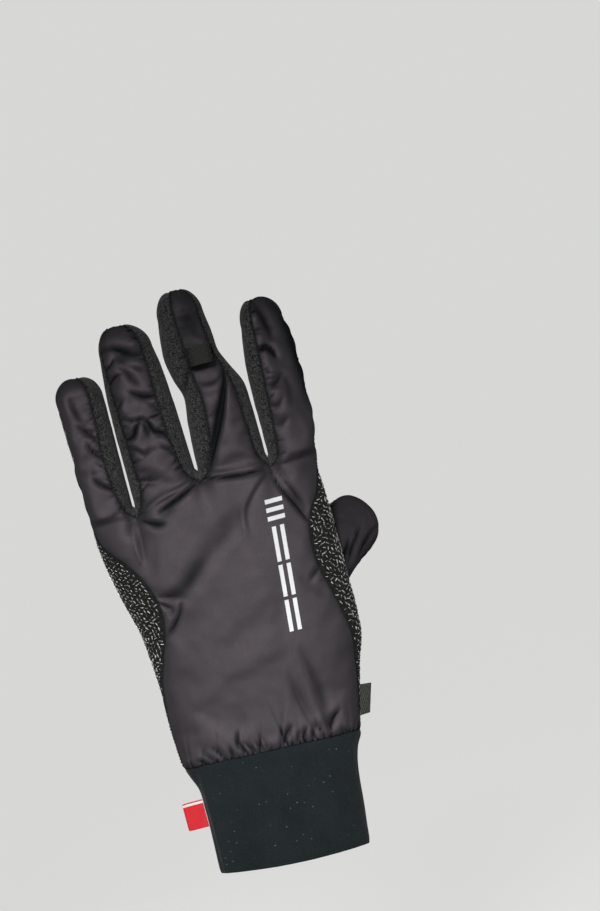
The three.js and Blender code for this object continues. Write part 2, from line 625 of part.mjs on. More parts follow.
// How deep the folds are at a point of the back, faded out at their two ends
function foldDepth(point) {
  let depth = 0;
  for (const fold of Object.values(FOLDS)) {
    const lengthX = fold.x1 - fold.x0;
    const lengthZ = fold.z1 - fold.z0;
    const length = Math.hypot(lengthX, lengthZ);
    const along = ((point.x - fold.x0) * lengthX + (point.z - fold.z0) * lengthZ) / length ** 2;
    const across = ((point.x - fold.x0) * lengthZ - (point.z - fold.z0) * lengthX) / length;
    const ends = smooth(-FOLD_FADE, FOLD_FADE, along) * (1 - smooth(1 - FOLD_FADE, 1 + FOLD_FADE, along));
    depth += fold.depth * ends * Math.exp(-((across / fold.halfWidth) ** 2));
  }
  return depth;
}

const { skin: handSkin, rings: handRings } = buildHandSkin();
const wristColumn = new Map();
for (const ring of handRings) ring.slice(0, -1).forEach((index, column) => wristColumn.set(index, column));

handSkin.displace((point, normal, index) => {
  const facing = smooth(FOLD_FACING.from, FOLD_FACING.full, -normal.y);
  const gather = wristColumn.has(index) ? (wristColumn.get(index) % 2 === 0 ? 1 : -1) : 0;
  const nearCuff = 1 - smooth(WRIST.left, WRIST.left + GATHERS.height, point.z);
  return -foldDepth(point) * facing + gather * GATHERS.halfDepth * nearCuff;
});

// The volume inside the hand's outer surface, a little larger than the hand
function handVolume(growth) {
  const normals = handSkin.normals();
  const points = handSkin.points.map((point, i) => point.clone().addScaledVector(normals[i], growth));
  return closedSolid(handSkin, points, handRings[0].slice(0, -1));
}

// The thumb's frame at one place of its path: along it, away from the curl, and across
function thumbFrame(at) {
  const read = (place) => new THREE.Vector3(
    readTable(THUMB_ROWS, 'x', place, 'at'),
    readTable(THUMB_ROWS, 'y', place, 'at'),
    readTable(THUMB_ROWS, 'z', place, 'at'),
  );
  const centre = read(at);
  const step = 0.05;
  const behind = read(Math.max(at - step, 0));
  const along = read(Math.min(at + step, THUMB_ROWS.length - 1)).sub(behind).normalize();
  const outward = centre.clone().sub(THUMB_CURL_CENTRE);
  outward.addScaledVector(along, -outward.dot(along)).normalize();
  const across = new THREE.Vector3().crossVectors(along, outward);
  return { centre, along, outward, across };
}

// The thumb's outer surface, or with a wall taken off it the surface of its hollow
function buildThumbSkin(wall, lead) {
  const skin = new Skin();
  const lastAt = THUMB_ROWS.length - 1;
  const addRing = (frame, halfWidth, halfDepth) => {
    const ring = [];
    for (let j = 0; j < 2 * THUMB_STRIPS; j += 1) {
      const angle = Math.PI * (j / THUMB_STRIPS - 0.5);
      const point = frame.centre.clone();
      point.addScaledVector(frame.outward, halfDepth * Math.cos(angle));
      point.addScaledVector(frame.across, halfWidth * Math.sin(angle));
      ring.push(skin.add(point));
    }
    ring.push(ring[0]);
    return ring;
  };
  const rings = [];
  for (let i = 0; i < THUMB_RINGS; i += 1) {
    const at = (lastAt * i) / (THUMB_RINGS - 1);
    const frame = thumbFrame(at);
    if (i === 0) frame.centre.addScaledVector(frame.along, -lead);
    const halfWidth = readTable(THUMB_ROWS, 'halfWidth', at, 'at') - wall;
    const halfDepth = readTable(THUMB_ROWS, 'halfDepth', at, 'at') - wall;
    rings.push(addRing(frame, halfWidth, halfDepth));
  }
  const tip = thumbFrame(lastAt);
  const baseWidth = THUMB_ROWS[lastAt].halfWidth - wall;
  const baseDepth = THUMB_ROWS[lastAt].halfDepth - wall;
  const height = THUMB_TIP_HEIGHT - wall;
  for (const angle of TIP_ANGLES.slice(0, -1)) {
    const centre = tip.centre.clone().addScaledVector(tip.along, height * Math.sin(angle));
    const halfWidth = baseWidth * mix(TIP_SEAM_SHARE, 1, Math.cos(angle));
    rings.push(addRing({ ...tip, centre }, halfWidth, baseDepth * Math.cos(angle)));
  }
  const seamCentre = tip.centre.clone().addScaledVector(tip.along, height);
  const halfLength = baseWidth * TIP_SEAM_SHARE;
  const seam = tipSeamRow(skin, seamCentre, tip.along, tip.across, halfLength, THUMB_STRIPS);
  rings.push([...seam, ...[...seam].reverse().slice(1)]);
  for (let i = 0; i + 1 < rings.length; i += 1) {
    skin.strip('thumb_back', rings[i].slice(0, THUMB_STRIPS + 1), rings[i + 1].slice(0, THUMB_STRIPS + 1));
    skin.strip('thumb_palm', rings[i].slice(THUMB_STRIPS), rings[i + 1].slice(THUMB_STRIPS));
  }
  return { skin, openRing: rings[0].slice(0, -1) };
}

// A skin with one open end as a closed solid, its opening shut by a fan of triangles
function closedSolid(skin, points, openRing) {
  const centre = new THREE.Vector3();
  openRing.forEach((index) => centre.addScaledVector(points[index], 1 / openRing.length));
  const fan = openRing.map((index, j) => [points.length, openRing[(j + 1) % openRing.length], index]);
  return toSolid(geometryFrom([...points, centre], [...skin.triangles(), ...fan]));
}

// The thumb's hollow, which also cuts the way in through the palm
function thumbHollow() {
  const { skin, openRing } = buildThumbSkin(THUMB_WALL, THUMB_HOLLOW_LEAD);
  return closedSolid(skin, skin.points, openRing);
}

// The cuff's outer surface
function buildCuffSkin() {
  const skin = new Skin();
  let lower;
  for (let i = CUFF_RINGS - 1; i >= 0; i -= 1) {
    const share = i / (CUFF_RINGS - 1);
    const leftZ = mix(WRIST.left - CUFF_TOP_GAP, CUFF_HEM.left, share);
    const rightZ = mix(WRIST.right - CUFF_TOP_GAP, CUFF_HEM.right, share);
    const left = readTable(CUFF_ROWS, 'left', leftZ);
    const right = readTable(CUFF_ROWS, 'right', rightZ);
    const section = {
      midX: (left + right) / 2,
      halfWidth: (right - left) / 2,
      midY: readTable(CUFF_ROWS, 'midY', leftZ),
      halfDepth: readTable(CUFF_ROWS, 'halfDepth', leftZ),
      power: CUFF_POWER,
    };
    const ring = [];
    for (let j = 0; j < CUFF_STRIPS; j += 1) {
      const point = sectionPoint(section, Math.PI * (1 - (2 * j) / CUFF_STRIPS), 0);
      const across = (point.x - left) / (right - left);
      point.z = mix(leftZ, rightZ, across) + CUFF_HEM.bow * share * Math.sin(Math.PI * across);
      ring.push(skin.add(point));
    }
    ring.push(ring[0]);
    if (lower) skin.strip('cuff', lower, ring);
    lower = ring;
  }
  return skin;
}

// The label: a short folded ribbon standing out from the cuff's edge
function labelGeometry() {
  const { left, right, top, bottom, corner, thickness } = LABEL;
  const outline = new THREE.Shape();
  outline.moveTo(right, top);
  outline.lineTo(left + corner, top);
  outline.quadraticCurveTo(left, top, left, top - corner);
  outline.lineTo(left, bottom + corner);
  outline.quadraticCurveTo(left, bottom, left + corner, bottom);
  outline.lineTo(right, bottom);
  outline.closePath();
  const settings = { depth: thickness, bevelEnabled: false, curveSegments: LABEL_CORNER_STEPS };
  const geometry = new THREE.ExtrudeGeometry(outline, settings);
  geometry.rotateX(Math.PI / 2);
  geometry.translate(0, LABEL.y + thickness / 2, 0);
  return geometry;
}

// The tab: a folded tape in the thumb-side seam, narrower at its lower end
function tabGeometry() {
  const { left, right, lowerLeft, top, bottom, taper, thickness } = TAB;
  const outline = new THREE.Shape();
  outline.moveTo(left, top);
  outline.lineTo(lowerLeft, bottom);
  outline.lineTo(right - taper, bottom);
  outline.lineTo(right, top - taper);
  outline.lineTo(right, top);
  outline.closePath();
  const geometry = new THREE.ExtrudeGeometry(outline, { depth: thickness, bevelEnabled: false });
  geometry.rotateX(Math.PI / 2);
  geometry.translate(0, TAB.y + thickness / 2, 0);
  return geometry;
}

// The hang loop: a tape from the finger's seam out, round and back, open along Z
function loopGeometry() {
  const { seamX, endX, top, bottom, opening, tape, seamY, lead, tailY } = LOOP;
  const inner = opening / 2;
  const outer = inner + tape;
  const arcX = endX - outer;
  const outline = new THREE.Shape();
  outline.moveTo(seamX, seamY);
  outline.quadraticCurveTo(seamX, -outer, seamX + lead, -outer);
  outline.lineTo(arcX, -outer);
  outline.absarc(arcX, 0, outer, -Math.PI / 2, Math.PI / 2, false);
  outline.lineTo(seamX + 2 * tape, outer);
  outline.lineTo(seamX - tape, tailY);
  outline.closePath();
  const gap = new THREE.Path();
  gap.moveTo(seamX + tape, inner);
  gap.lineTo(arcX, inner);
  gap.absarc(arcX, 0, inner, Math.PI / 2, -Math.PI / 2, true);
  gap.lineTo(seamX + lead, -inner);
  gap.quadraticCurveTo(seamX + tape, -inner, seamX + tape, inner);
  outline.holes.push(gap);
  const settings = { depth: top - bottom, bevelEnabled: false, curveSegments: LOOP_CURVE_STEPS };
  const geometry = new THREE.ExtrudeGeometry(outline, settings);
  geometry.translate(0, 0, bottom);
  return geometry;
}

const glove = new THREE.Group();

function addPiece(name, geometry, finish) {
  const material = new THREE.MeshStandardMaterial({ ...finish, metalness: 0 });
  const mesh = new THREE.Mesh(geometry, material);
  mesh.name = name;
  glove.add(mesh);
}

addPiece('back_shell', panelGeometry(handSkin, 'back_shell', BACK_WALL), FINISHES.nylon);

const palmSolid = toSolid(panelGeometry(handSkin, 'palm', PALM_WALL)).subtract(thumbHollow());
addPiece('palm', fromSolid(palmSolid), FINISHES.grip);

for (const node of FLEECE_NODES) {
  addPiece(node, panelGeometry(handSkin, node, FLEECE_WALL), FINISHES.fleece);
}

const { skin: thumbSkin } = buildThumbSkin(0, 0);
const seat = handVolume(THUMB_SEAT_GAP);
for (const [node, finish] of [['thumb_back', FINISHES.nylon], ['thumb_palm', FINISHES.grip]]) {
  const panel = toSolid(panelGeometry(thumbSkin, node, THUMB_WALL)).subtract(seat);
  addPiece(node, fromSolid(panel), finish);
}

addPiece('cuff', panelGeometry(buildCuffSkin(), 'cuff', CUFF_WALL), FINISHES.knit);
addPiece('cuff_label', labelGeometry(), FINISHES.ribbon);
addPiece('side_tab', tabGeometry(), FINISHES.tape);
addPiece('hang_loop', loopGeometry(), FINISHES.tape);

export default glove;
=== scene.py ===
"""Dresses the windproof glove: padded nylon back, grip palm, fleece finger sides, thumb and knitted cuff.

The back of the hand faces -Y, the thumb side is +X and the fingers point up, +Z. Shapes are worked out in
millimetres, and become metres when a mesh is made.
"""
import logging
import math
from dataclasses import dataclass, field
from enum import Enum
from typing import Iterable, Sequence

import bpy
import numpy as np
from mathutils import Matrix, Vector, noise
from mathutils.bvhtree import BVHTree
from mathutils.kdtree import KDTree


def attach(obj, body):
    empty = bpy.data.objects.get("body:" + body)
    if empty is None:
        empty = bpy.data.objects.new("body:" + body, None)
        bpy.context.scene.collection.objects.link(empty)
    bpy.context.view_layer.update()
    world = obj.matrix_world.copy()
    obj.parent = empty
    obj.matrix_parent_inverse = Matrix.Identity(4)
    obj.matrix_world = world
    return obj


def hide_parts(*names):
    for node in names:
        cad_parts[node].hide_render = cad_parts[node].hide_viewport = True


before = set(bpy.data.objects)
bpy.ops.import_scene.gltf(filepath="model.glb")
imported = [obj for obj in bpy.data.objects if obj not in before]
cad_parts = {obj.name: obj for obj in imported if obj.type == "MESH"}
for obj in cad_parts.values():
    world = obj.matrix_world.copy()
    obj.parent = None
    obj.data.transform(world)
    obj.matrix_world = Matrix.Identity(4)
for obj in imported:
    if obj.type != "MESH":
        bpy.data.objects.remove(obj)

LOG = logging.getLogger("glove")
MM = 0.001
TINY = 1e-9
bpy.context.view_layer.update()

# Fewer faces while trying things
DENSITY = 1.0

Numbers = float | np.ndarray
Colour = tuple[float, float, float]
Feed = bpy.types.NodeSocket | float | Colour
Axes = tuple[np.ndarray, np.ndarray, np.ndarray, np.ndarray]
Place = tuple[np.ndarray, np.ndarray, np.ndarray, float]


class Slot(Enum):
    """The finishes that the glove's pieces take."""

    NYLON = "nylon"
    GRIP = "grip"
    FLEECE = "fleece"
    KNIT = "knit"
    RIBBON = "ribbon"
    TAPE = "tape"


def steps(count: float, density: float = DENSITY) -> int:
    return max(4, round(count * density))


def mix(start: Numbers, end: Numbers, share: Numbers) -> Numbers:
    """The value a share of the way from start to end."""
    return start + (end - start) * share


def smooth(low: float, high: float, value: Numbers) -> Numbers:
    """Rises from 0 at low to 1 at high with level ends."""
    share = np.clip((value - low) / (high - low), 0, 1)
    return share * share * (3 - 2 * share)


def unit(vectors: np.ndarray) -> np.ndarray:
    """The vectors at length 1."""
    return vectors / np.maximum(np.linalg.norm(vectors, axis=-1, keepdims=True), 1e-12)


def distances(line: np.ndarray) -> np.ndarray:
    """How far along a line each of its points lies."""
    return np.concatenate([[0], np.cumsum(np.linalg.norm(np.diff(line, axis=0), axis=1))])


def face_corners(grid: np.ndarray) -> np.ndarray:
    """The values of a grid at the four corners of each of its faces, whose rows run from bottom to top."""
    return np.stack([grid[:-1, :-1], grid[:-1, 1:], grid[1:, 1:], grid[1:, :-1]], axis=2)


def tube_faces(rings: int, sides: int) -> list[tuple[int, ...]]:
    """The faces between rings of points that are stored one after another."""
    return [(ring + i, ring + sides + i, ring + sides + (i + 1) % sides, ring + (i + 1) % sides)
            for ring in range(0, (rings - 1) * sides, sides) for i in range(sides)]


def point_tree(points: np.ndarray) -> KDTree:
    """Makes a tree that finds the points nearest to a place.

    Args:
        points: the points, numbered in their order.

    Returns:
        The tree, ready to be searched.
    """
    tree = KDTree(len(points))
    for index, point in enumerate(points):
        tree.insert(point, index)
    tree.balance()
    return tree


def new_object(name: str, data: bpy.types.ID) -> bpy.types.Object:
    """Puts a new object into the scene.

    Args:
        name: the object's name.
        data: its mesh, camera or lamp.

    Returns:
        The object, at the origin.
    """
    made = bpy.data.objects.new(name, data)
    bpy.context.scene.collection.objects.link(made)
    return made


class Table:
    """Rows of sizes under named columns, read as smooth curves along the first column."""

    def __init__(self, columns: str, rows: Iterable[Sequence[float]]) -> None:
        """Sorts the rows along the first column.

        Args:
            columns: names of the columns, parted by blanks.
            rows: one row of sizes for each place along the first column.
        """
        values = np.array(sorted(tuple(row) for row in rows), float)
        self.columns = dict(zip(columns.split(), values.T))
        self.key = self.columns[columns.split()[0]]

    def has(self, column: str) -> bool:
        """Whether the table has that column."""
        return column in self.columns

    def at(self, column: str, place: float) -> float:
        """Reads one column at one place."""
        return float(self.read(column, place))

    def read(self, column: str, place: Numbers) -> Numbers:
        """Reads one column as a smooth curve.

        Args:
            column: the column's name.
            place: a place, or an array of places, along the first column.

        Returns:
            The column's value at each place, held level past the first and last rows.
        """
        key, values = self.key, self.columns[column]
        last = len(key) - 1
        before = np.maximum(np.arange(last + 1) - 1, 0)
        after = np.minimum(np.arange(last + 1) + 1, last)
        slopes = (values[after] - values[before]) / (key[after] - key[before])
        place = np.clip(place, key[0], key[-1])
        row = np.clip(np.searchsorted(key, place, side="right") - 1, 0, last - 1)
        span = key[row + 1] - key[row]
        t = (place - key[row]) / span
        start = values[row] * (2 * t**3 - 3 * t**2 + 1)
        end = values[row + 1] * (3 * t**2 - 2 * t**3)
        bend = slopes[row] * (t**3 - 2 * t**2 + t) + slopes[row + 1] * (t**3 - t**2)
        return start + end + bend * span


@dataclass(frozen=True)
class Section:
    """A rounded section across a hand, finger or cuff, level with the floor."""

    mid_x: float
    half_width: float
    mid_y: float
    half_depth: float
    power: float
    roll: float = 0.0

    @classmethod
    def between(cls, table: Table, left_z: float, right_z: float, middle_z: float, power: float) -> "Section":
        """Reads a section from a table.

        Args:
            table: the sizes, with the left and right edges in columns of their own.
            left_z: height at which the left edge is read.
            right_z: height at which the right edge is read.
            middle_z: height at which the depth is read.
            power: how square the section is, 2 for an ellipse.

        Returns:
            The section.
        """
        left, right = table.at("left", left_z), table.at("right", right_z)
        roll = table.at("roll", middle_z) if table.has("roll") else 0.0
        return cls((left + right) / 2, (right - left) / 2, table.at("mid_y", middle_z),
                   table.at("half_depth", middle_z), power, roll)

    def share(self, x: Numbers) -> Numbers:
        """How far across the section x lies, 0 at its left edge and 1 at its right."""
        return (x - self.mid_x) / self.half_width / 2 + 0.5

    def points(self, angles: np.ndarray) -> np.ndarray:
        """Points of the section. Angle 0 is the +X edge, and a quarter turn is the back, at -Y.

        Args:
            angles: angles in radians.

        Returns:
            One point for each angle, at height 0.
        """
        cosine, sine = np.cos(angles), np.sin(angles)
        across = np.sign(cosine) * np.abs(cosine) ** (2 / self.power)
        deep = np.sign(sine) * np.abs(sine) ** (2 / self.power)
        x = self.mid_x + self.half_width * across
        y = self.mid_y - self.half_depth * deep + self.roll * (x - self.mid_x)
        return np.stack([x, y, np.zeros_like(x)], axis=1)

    def angle_at(self, x: float) -> float:
        """The angle at which the back of the section passes x."""
        share = float(np.clip((x - self.mid_x) / self.half_width, -1, 1))
        return math.acos(math.copysign(abs(share) ** (self.power / 2), share))


@dataclass
class Grid:
    """A part of a panel as rows of point numbers, with the height of each row along the cloth."""

    rows: np.ndarray
    heights: np.ndarray


class Skin:
    """The outer surface of sewn cloth: one list of points, and panels made of grids over it."""

    def __init__(self) -> None:
        """Starts with no points and no panels."""
        self.blocks: list[np.ndarray] = []
        self.count = 0
        self.panels: dict[str, list[Grid]] = {}
        self.seams: dict[str, np.ndarray] = {}
        self.fixed: dict[int, np.ndarray] = {}

    def add(self, points: np.ndarray) -> np.ndarray:
        """Adds points.

        Args:
            points: their places, three numbers each.

        Returns:
            The points' numbers.
        """
        self.blocks.append(np.asarray(points, float).reshape(-1, 3))
        first = self.count
        self.count += len(self.blocks[-1])
        return np.arange(first, self.count)

    @property
    def points(self) -> np.ndarray:
        """All points, one a row."""
        self.blocks = [np.concatenate(self.blocks)]
        return self.blocks[0]

    def lay(self, panel: str, rows: Sequence[np.ndarray], heights: Sequence[float]) -> None:
        """Adds a grid to a panel.

        Args:
            panel: the panel's name.
            rows: equally long rows of point numbers, seen from outside left to right and bottom to top.
            heights: each row's height along the cloth.
        """
        self.panels.setdefault(panel, []).append(Grid(np.stack(rows), np.array(heights, float)))

    def quads(self, panel: str) -> np.ndarray:
        """The faces of a panel, four point numbers a row, some of them with two corners in one point."""
        return np.concatenate([face_corners(grid.rows).reshape(-1, 4) for grid in self.panels[panel]])

    def corner_uvs(self, panel: str) -> np.ndarray:
        """Works out where each face corner lies on the flat cloth.

        Args:
            panel: the panel's name.

        Returns:
            Its place in millimetres, in the order of quads().
        """
        points = self.points
        parts = []
        for grid in self.panels[panel]:
            rows = points[grid.rows]
            arcs = np.zeros(grid.rows.shape)
            arcs[:, 1:] = np.cumsum(np.linalg.norm(np.diff(rows, axis=1), axis=2), axis=1)
            across = arcs - arcs[:, -1:] / 2 + rows[:, :, 0].mean(axis=1, keepdims=True)
            uv = np.stack([across, np.broadcast_to(grid.heights[:, None], across.shape)], axis=-1)
            parts.append(face_corners(uv).reshape(-1, 4, 2))
        return np.concatenate(parts)

    def relaxed(self, values: np.ndarray, rounds: int = 2) -> np.ndarray:
        """Evens out values with those of the neighbours along the faces' edges.

        Args:
            values: a value for each point.
            rounds: how often to do it.

        Returns:
            The new values.
        """
        quads = np.concatenate([self.quads(panel) for panel in self.panels])
        starts = quads.reshape(-1)
        ends = np.roll(quads, -1, axis=1).reshape(-1)
        count = np.maximum(np.bincount(starts, minlength=self.count), 1)
        for _ in range(rounds):
            values = mix(values, np.bincount(starts, values[ends], self.count) / count, 0.5)
        return values

    def normals(self) -> np.ndarray:
        """Works out the outward directions over all panels.

        Returns:
            A direction of length 1 for each point.
        """
        points = self.points
        sums = np.zeros_like(points)
        for panel in self.panels:
            quads = self.quads(panel)
            diagonal = points[quads[:, 2]] - points[quads[:, 0]]
            other = points[quads[:, 3]] - points[quads[:, 1]]
            face = np.cross(diagonal, other)
            for corner in range(4):
                np.add.at(sums, quads[:, corner], face)
        for index, normal in self.fixed.items():
            sums[index] = normal
        return unit(sums)


def point_at(place: float, walked: np.ndarray, line: np.ndarray) -> np.ndarray:
    """The point of a line at one place along it, where walked gives the places of the line's own points."""
    return np.array([np.interp(place, walked, line[:, axis]) for axis in range(3)])


@dataclass(frozen=True)
class Crease:
    """A valley, or with a minus depth a ridge, drawn as a line on the back of the hand, seen from -Y.

    The lean widens its side to the right of the path's heading, the swell widens it towards the path's end,
    and the shade is how dark a band of painted shade it lays along itself for its depth.
    """

    path: tuple[tuple[float, float], ...]
    depth: float
    half_width: float
    lip: float = 0.0
    lean: float = 0.0
    shade: float = 0.8
    swell: float = 0.0

    def heights(self, points: np.ndarray) -> tuple[np.ndarray, np.ndarray]:
        """Works out the crease at some points of the cloth.

        Args:
            points: points of the cloth.

        Returns:
            How far it moves each point out, which is less than 0 in the valley, and how much shade it paints
            on it.
        """
        best = np.full(len(points), 1e9)
        side = np.zeros(len(points))
        fade = np.zeros(len(points))
        place = points[:, [0, 2]]
        knots = self.curve()
        lengths = np.linalg.norm(np.diff(knots, axis=0), axis=1)
        total = lengths.sum()
        walked = 0.0
        for start, end, length in zip(knots[:-1], knots[1:], lengths):
            along = (end - start) / length
            offset = place - start
            clipped = np.clip(offset @ along, 0, length)
            distance = np.linalg.norm(offset - clipped[:, None] * along, axis=1)
            nearer = distance < best
            best = np.where(nearer, distance, best)
            cross = offset[:, 0] * along[1] - offset[:, 1] * along[0]
            side = np.where(nearer, np.sign(cross), side)
            fade = np.where(nearer, (walked + clipped) / total, fade)
            walked += length
        end_width, cut_off, blunt = 0.75, 0.07, 0.6
        width = self.half_width * (1 + self.lean * side) * mix(end_width, 1.0, np.sin(np.pi * fade))
        width *= mix(1 - self.swell, 1 + self.swell, fade)
        reach = best / width
        ends = np.sin(np.pi * np.clip(mix(cut_off, 1 - cut_off, fade), 0, 1)) ** blunt
        rounding, lip_at, lip_spread = 0.4, 2.6, 1.6
        valley = np.exp(rounding - np.sqrt(reach**2 + rounding**2))
        lips = np.exp(-((reach - lip_at) ** 2) / lip_spread)
        # A soft band of painted shade along the crease
        dark = self.shade * max(self.depth, 0) * ends * np.exp(-(reach**2))
        gain, lip_gain = 1.35, 0.28
        return gain * ends * (-self.depth * valley + lip_gain * self.lip * lips), dark

    def curve(self, spacing: float = 1.5) -> np.ndarray:
        """Draws the path as a smooth line through its points.

        Args:
            spacing: the rough distance from point to point of the line.

        Returns:
            The line's points, in X and Z.
        """
        knots = np.array(self.path, float)
        if len(knots) == 2:
            return knots
        walked = distances(knots)
        table = Table("s x z", np.column_stack([walked, knots]))
        places = np.linspace(0, walked[-1], max(3, round(walked[-1] / spacing)))
        return np.stack([table.read("x", places), table.read("z", places)], axis=1)


@dataclass(frozen=True)
class Puckers:
    """Short tucks along a seam, where the longer cloth is drawn in by the stitches."""

    pitch: float
    depth: float
    reach: float
    seed: int
    half_width: float = 0.6
    slant: float = 0.4
    at_seam: float = 0.45
    full_from: float = 1.2
    spread: float = 0.12
    lip: float = 0.35
    lip_at: float = 1.7

    def heights(self, along: np.ndarray, away: np.ndarray, length: float) -> np.ndarray:
        """How far the tucks move the cloth out, which is less than 0 in a tuck.

        Args:
            along: each point's place along the seam.
            away: each point's distance from the seam.
            length: the seam's length.

        Returns:
            One height for each point.
        """
        rng = np.random.default_rng(self.seed)
        result = np.zeros(len(along))
        close = np.flatnonzero(away < 4 * self.reach)
        rise = mix(self.at_seam, 1, smooth(0, self.full_from, away[close]))
        place = self.pitch * rng.uniform(0.2, 0.8)
        while place < length:
            depth = self.depth * rng.uniform(0.25, 1.0) ** 1.3
            reach = self.reach * rng.uniform(0.5, 1.5)
            width = self.half_width * rng.uniform(0.75, 1.35)
            slant = rng.normal(0, self.slant)
            width = width * (1 + self.spread * away[close])
            offset = (along[close] - place - slant * away[close]) / width
            tuck = np.exp(-(offset**2)) - self.lip * np.exp(-((np.abs(offset) - self.lip_at) ** 2) * 1.5)
            result[close] -= depth * tuck * rise * np.exp(-away[close] / reach)
            place += self.pitch * rng.uniform(0.6, 1.4)
        return result


def along_seam(points: np.ndarray, line: np.ndarray) -> tuple[np.ndarray, np.ndarray, float]:
    """Places points by a seam.

    Args:
        points: points of the cloth.
        line: the seam's points, in order.

    Returns:
        Each point's place along the seam, its distance from it, and the seam's length.
    """
    spans = np.diff(line, axis=0)
    lengths = np.maximum(np.linalg.norm(spans, axis=1), TINY)
    starts = np.concatenate([[0], np.cumsum(lengths)])
    tangents = np.concatenate([spans / lengths[:, None], (spans / lengths[:, None])[-1:]])
    limit = np.max(lengths)
    along = np.zeros(len(points))
    away = np.zeros(len(points))
    at_once = 8192
    for first in range(0, len(points), at_once):
        part = slice(first, first + at_once)
        nearest = ((points[part, None] - line[None]) ** 2).sum(axis=2).argmin(axis=1)
        offset = points[part] - line[nearest]
        run = np.clip((offset * tangents[nearest]).sum(axis=1), -limit, limit)
        along[part] = starts[nearest] + run
        away[part] = np.sqrt(np.maximum((offset**2).sum(axis=1) - run**2, 0))
    return along, away, float(starts[-1])


@dataclass(frozen=True)
class Lumps:
    """A layer of soft unevenness: how high it stands, how wide its lumps are and where it starts."""

    height: float
    size: float
    seed: float

    def heights(self, points: np.ndarray) -> np.ndarray:
        """How far the layer moves each point out, which is less than 0 in a dip."""
        shifted = points / self.size + self.seed
        return self.height * np.array([noise.noise(Vector(point)) for point in shifted])


@dataclass(frozen=True)
class Gathers:
    """Close uneven tucks in the hand, where the cuff's tight knit draws it in along their seam."""

    strength: float
    seed: int
    pitch: float = 2.1
    reach: float = 4.8
    left_fade: float = 14.0
    right_fade: float = 12.0
    spread: float = 0.07
    lip: float = 0.3
    lip_at: float = 1.8
    inset: float = 8.0
    puff: float = 0.45
    puff_at: float = 3.4
    puff_spread: float = 2.6
    dip: float = 0.5
    dip_reach: float = 0.9

    def heights(self, along: np.ndarray, away: np.ndarray, length: float) -> np.ndarray:
        """How far the gathers move the cloth out, which is less than 0 in a tuck.

        Args:
            along: each point's place along the seam.
            away: each point's distance from the seam.
            length: the seam's length.

        Returns:
            One height for each point.
        """
        rng = np.random.default_rng(self.seed)
        result = np.zeros(len(along))
        rise = 0.4 + 0.6 * smooth(0, 2, away)
        place = 1.0
        while place < length:
            middle = float(smooth(0, self.left_fade, place) * smooth(0, self.right_fade, length - place))
            depth = self.strength * rng.uniform(0.3, 1.7) * mix(0.25, 1, middle)
            reach = self.reach * rng.uniform(0.35, 1.6) ** 1.5
            width = rng.uniform(0.4, 0.8)
            slant = rng.normal(0.1, 0.2)
            offset = (along - place - slant * away) / (width * (1 + self.spread * away))
            tuck = np.exp(-(offset**2)) - self.lip * np.exp(-((np.abs(offset) - self.lip_at) ** 2))
            result -= depth * tuck * np.exp(-away / reach) * rise
            place += self.pitch * rng.uniform(0.55, 1.45)
        inset = smooth(0, self.inset, along) * smooth(0, self.inset, length - along)
        puffed = inset * np.exp(-((away - self.puff_at) / self.puff_spread) ** 2)
        return result + self.strength * self.puff * puffed - self.dip * np.exp(-away / self.dip_reach)


@dataclass
class Cloth:
    """One piece of cloth as a closed body, ready to become a mesh."""

    points: np.ndarray
    faces: list[tuple[int, ...]]
    uvs: np.ndarray
    outer_count: int
    # fold: the shade painted into the cloth's colour at each outer point, from 0 to 1
    fold: np.ndarray | None = None

    def to_object(self, name: str, material: bpy.types.Material, crisp: float = 50.0) -> bpy.types.Object:
        """Makes the piece in the scene.

        Args:
            name: the piece's name.
            material: its finish.
            crisp: edges sharper than this many degrees stay sharp.

        Returns:
            The new object, at the origin.
        """
        mesh = bpy.data.meshes.new(name)
        mesh.from_pydata((self.points * MM).tolist(), [], self.faces)
        layer = mesh.uv_layers.new(name="cloth")
        layer.data.foreach_set("uv", (self.uvs * MM).astype(np.float32).ravel())
        # The fold attribute carries painted shade, which the finishes mix into the colour
        if self.fold is not None:
            fold = mesh.attributes.new("fold", "FLOAT", "POINT")
            fold.data.foreach_set("value", np.tile(self.fold, 2).astype(np.float32))
        mesh.materials.append(material)
        mesh.polygons.foreach_set("use_smooth", [True] * len(mesh.polygons))
        mesh.set_sharp_from_angle(angle=math.radians(crisp))
        mesh.update()
        return new_object(name, mesh)


def rim_edges(quads: np.ndarray) -> np.ndarray:
    """Finds the edges that only one face has.

    Args:
        quads: the faces.

    Returns:
        The two ends of each edge, in the order in which its face runs.
    """
    edges = np.concatenate([quads[:, [i, (i + 1) % 4]] for i in range(4)])
    edges = edges[edges[:, 0] != edges[:, 1]].astype(np.int64)
    count = quads.max() + 1
    return edges[~np.isin(edges @ [count, 1], edges @ [1, count])]


def thicken(outer: np.ndarray, inner: np.ndarray, quads: np.ndarray, uvs: np.ndarray,
            fold: np.ndarray | None = None) -> Cloth:
    """Closes an outer and an inner face that run in step into one body.

    Args:
        outer: points of the outer face.
        inner: points of the inner face, one for each outer one.
        quads: faces of the outer side, some of them with two corners in one point.
        uvs: each corner's place on the flat cloth.
        fold: how much shade is painted on each point, from 0 to 1, most in folds and by seams.

    Returns:
        The closed piece.
    """
    count = len(outer)
    faces, face_uvs = [], []
    for quad, uv in zip(quads.tolist(), uvs):
        corners = [i for i in range(4) if quad[i] != quad[i - 1]]
        if len(corners) > 2:
            faces.append(tuple(quad[i] for i in corners))
            faces.append(tuple(quad[i] + count for i in reversed(corners)))
            face_uvs += [uv[corners], uv[corners[::-1]]]
    point_uv = np.zeros((count, 2))
    point_uv[quads.reshape(-1)] = uvs.reshape(-1, 2)
    for a, b in rim_edges(quads).tolist():
        faces.append((b, a, a + count, b + count))
        face_uvs.append(point_uv[[b, a, a, b]])
    return Cloth(np.concatenate([outer, inner]), faces, np.concatenate(face_uvs), count, fold)


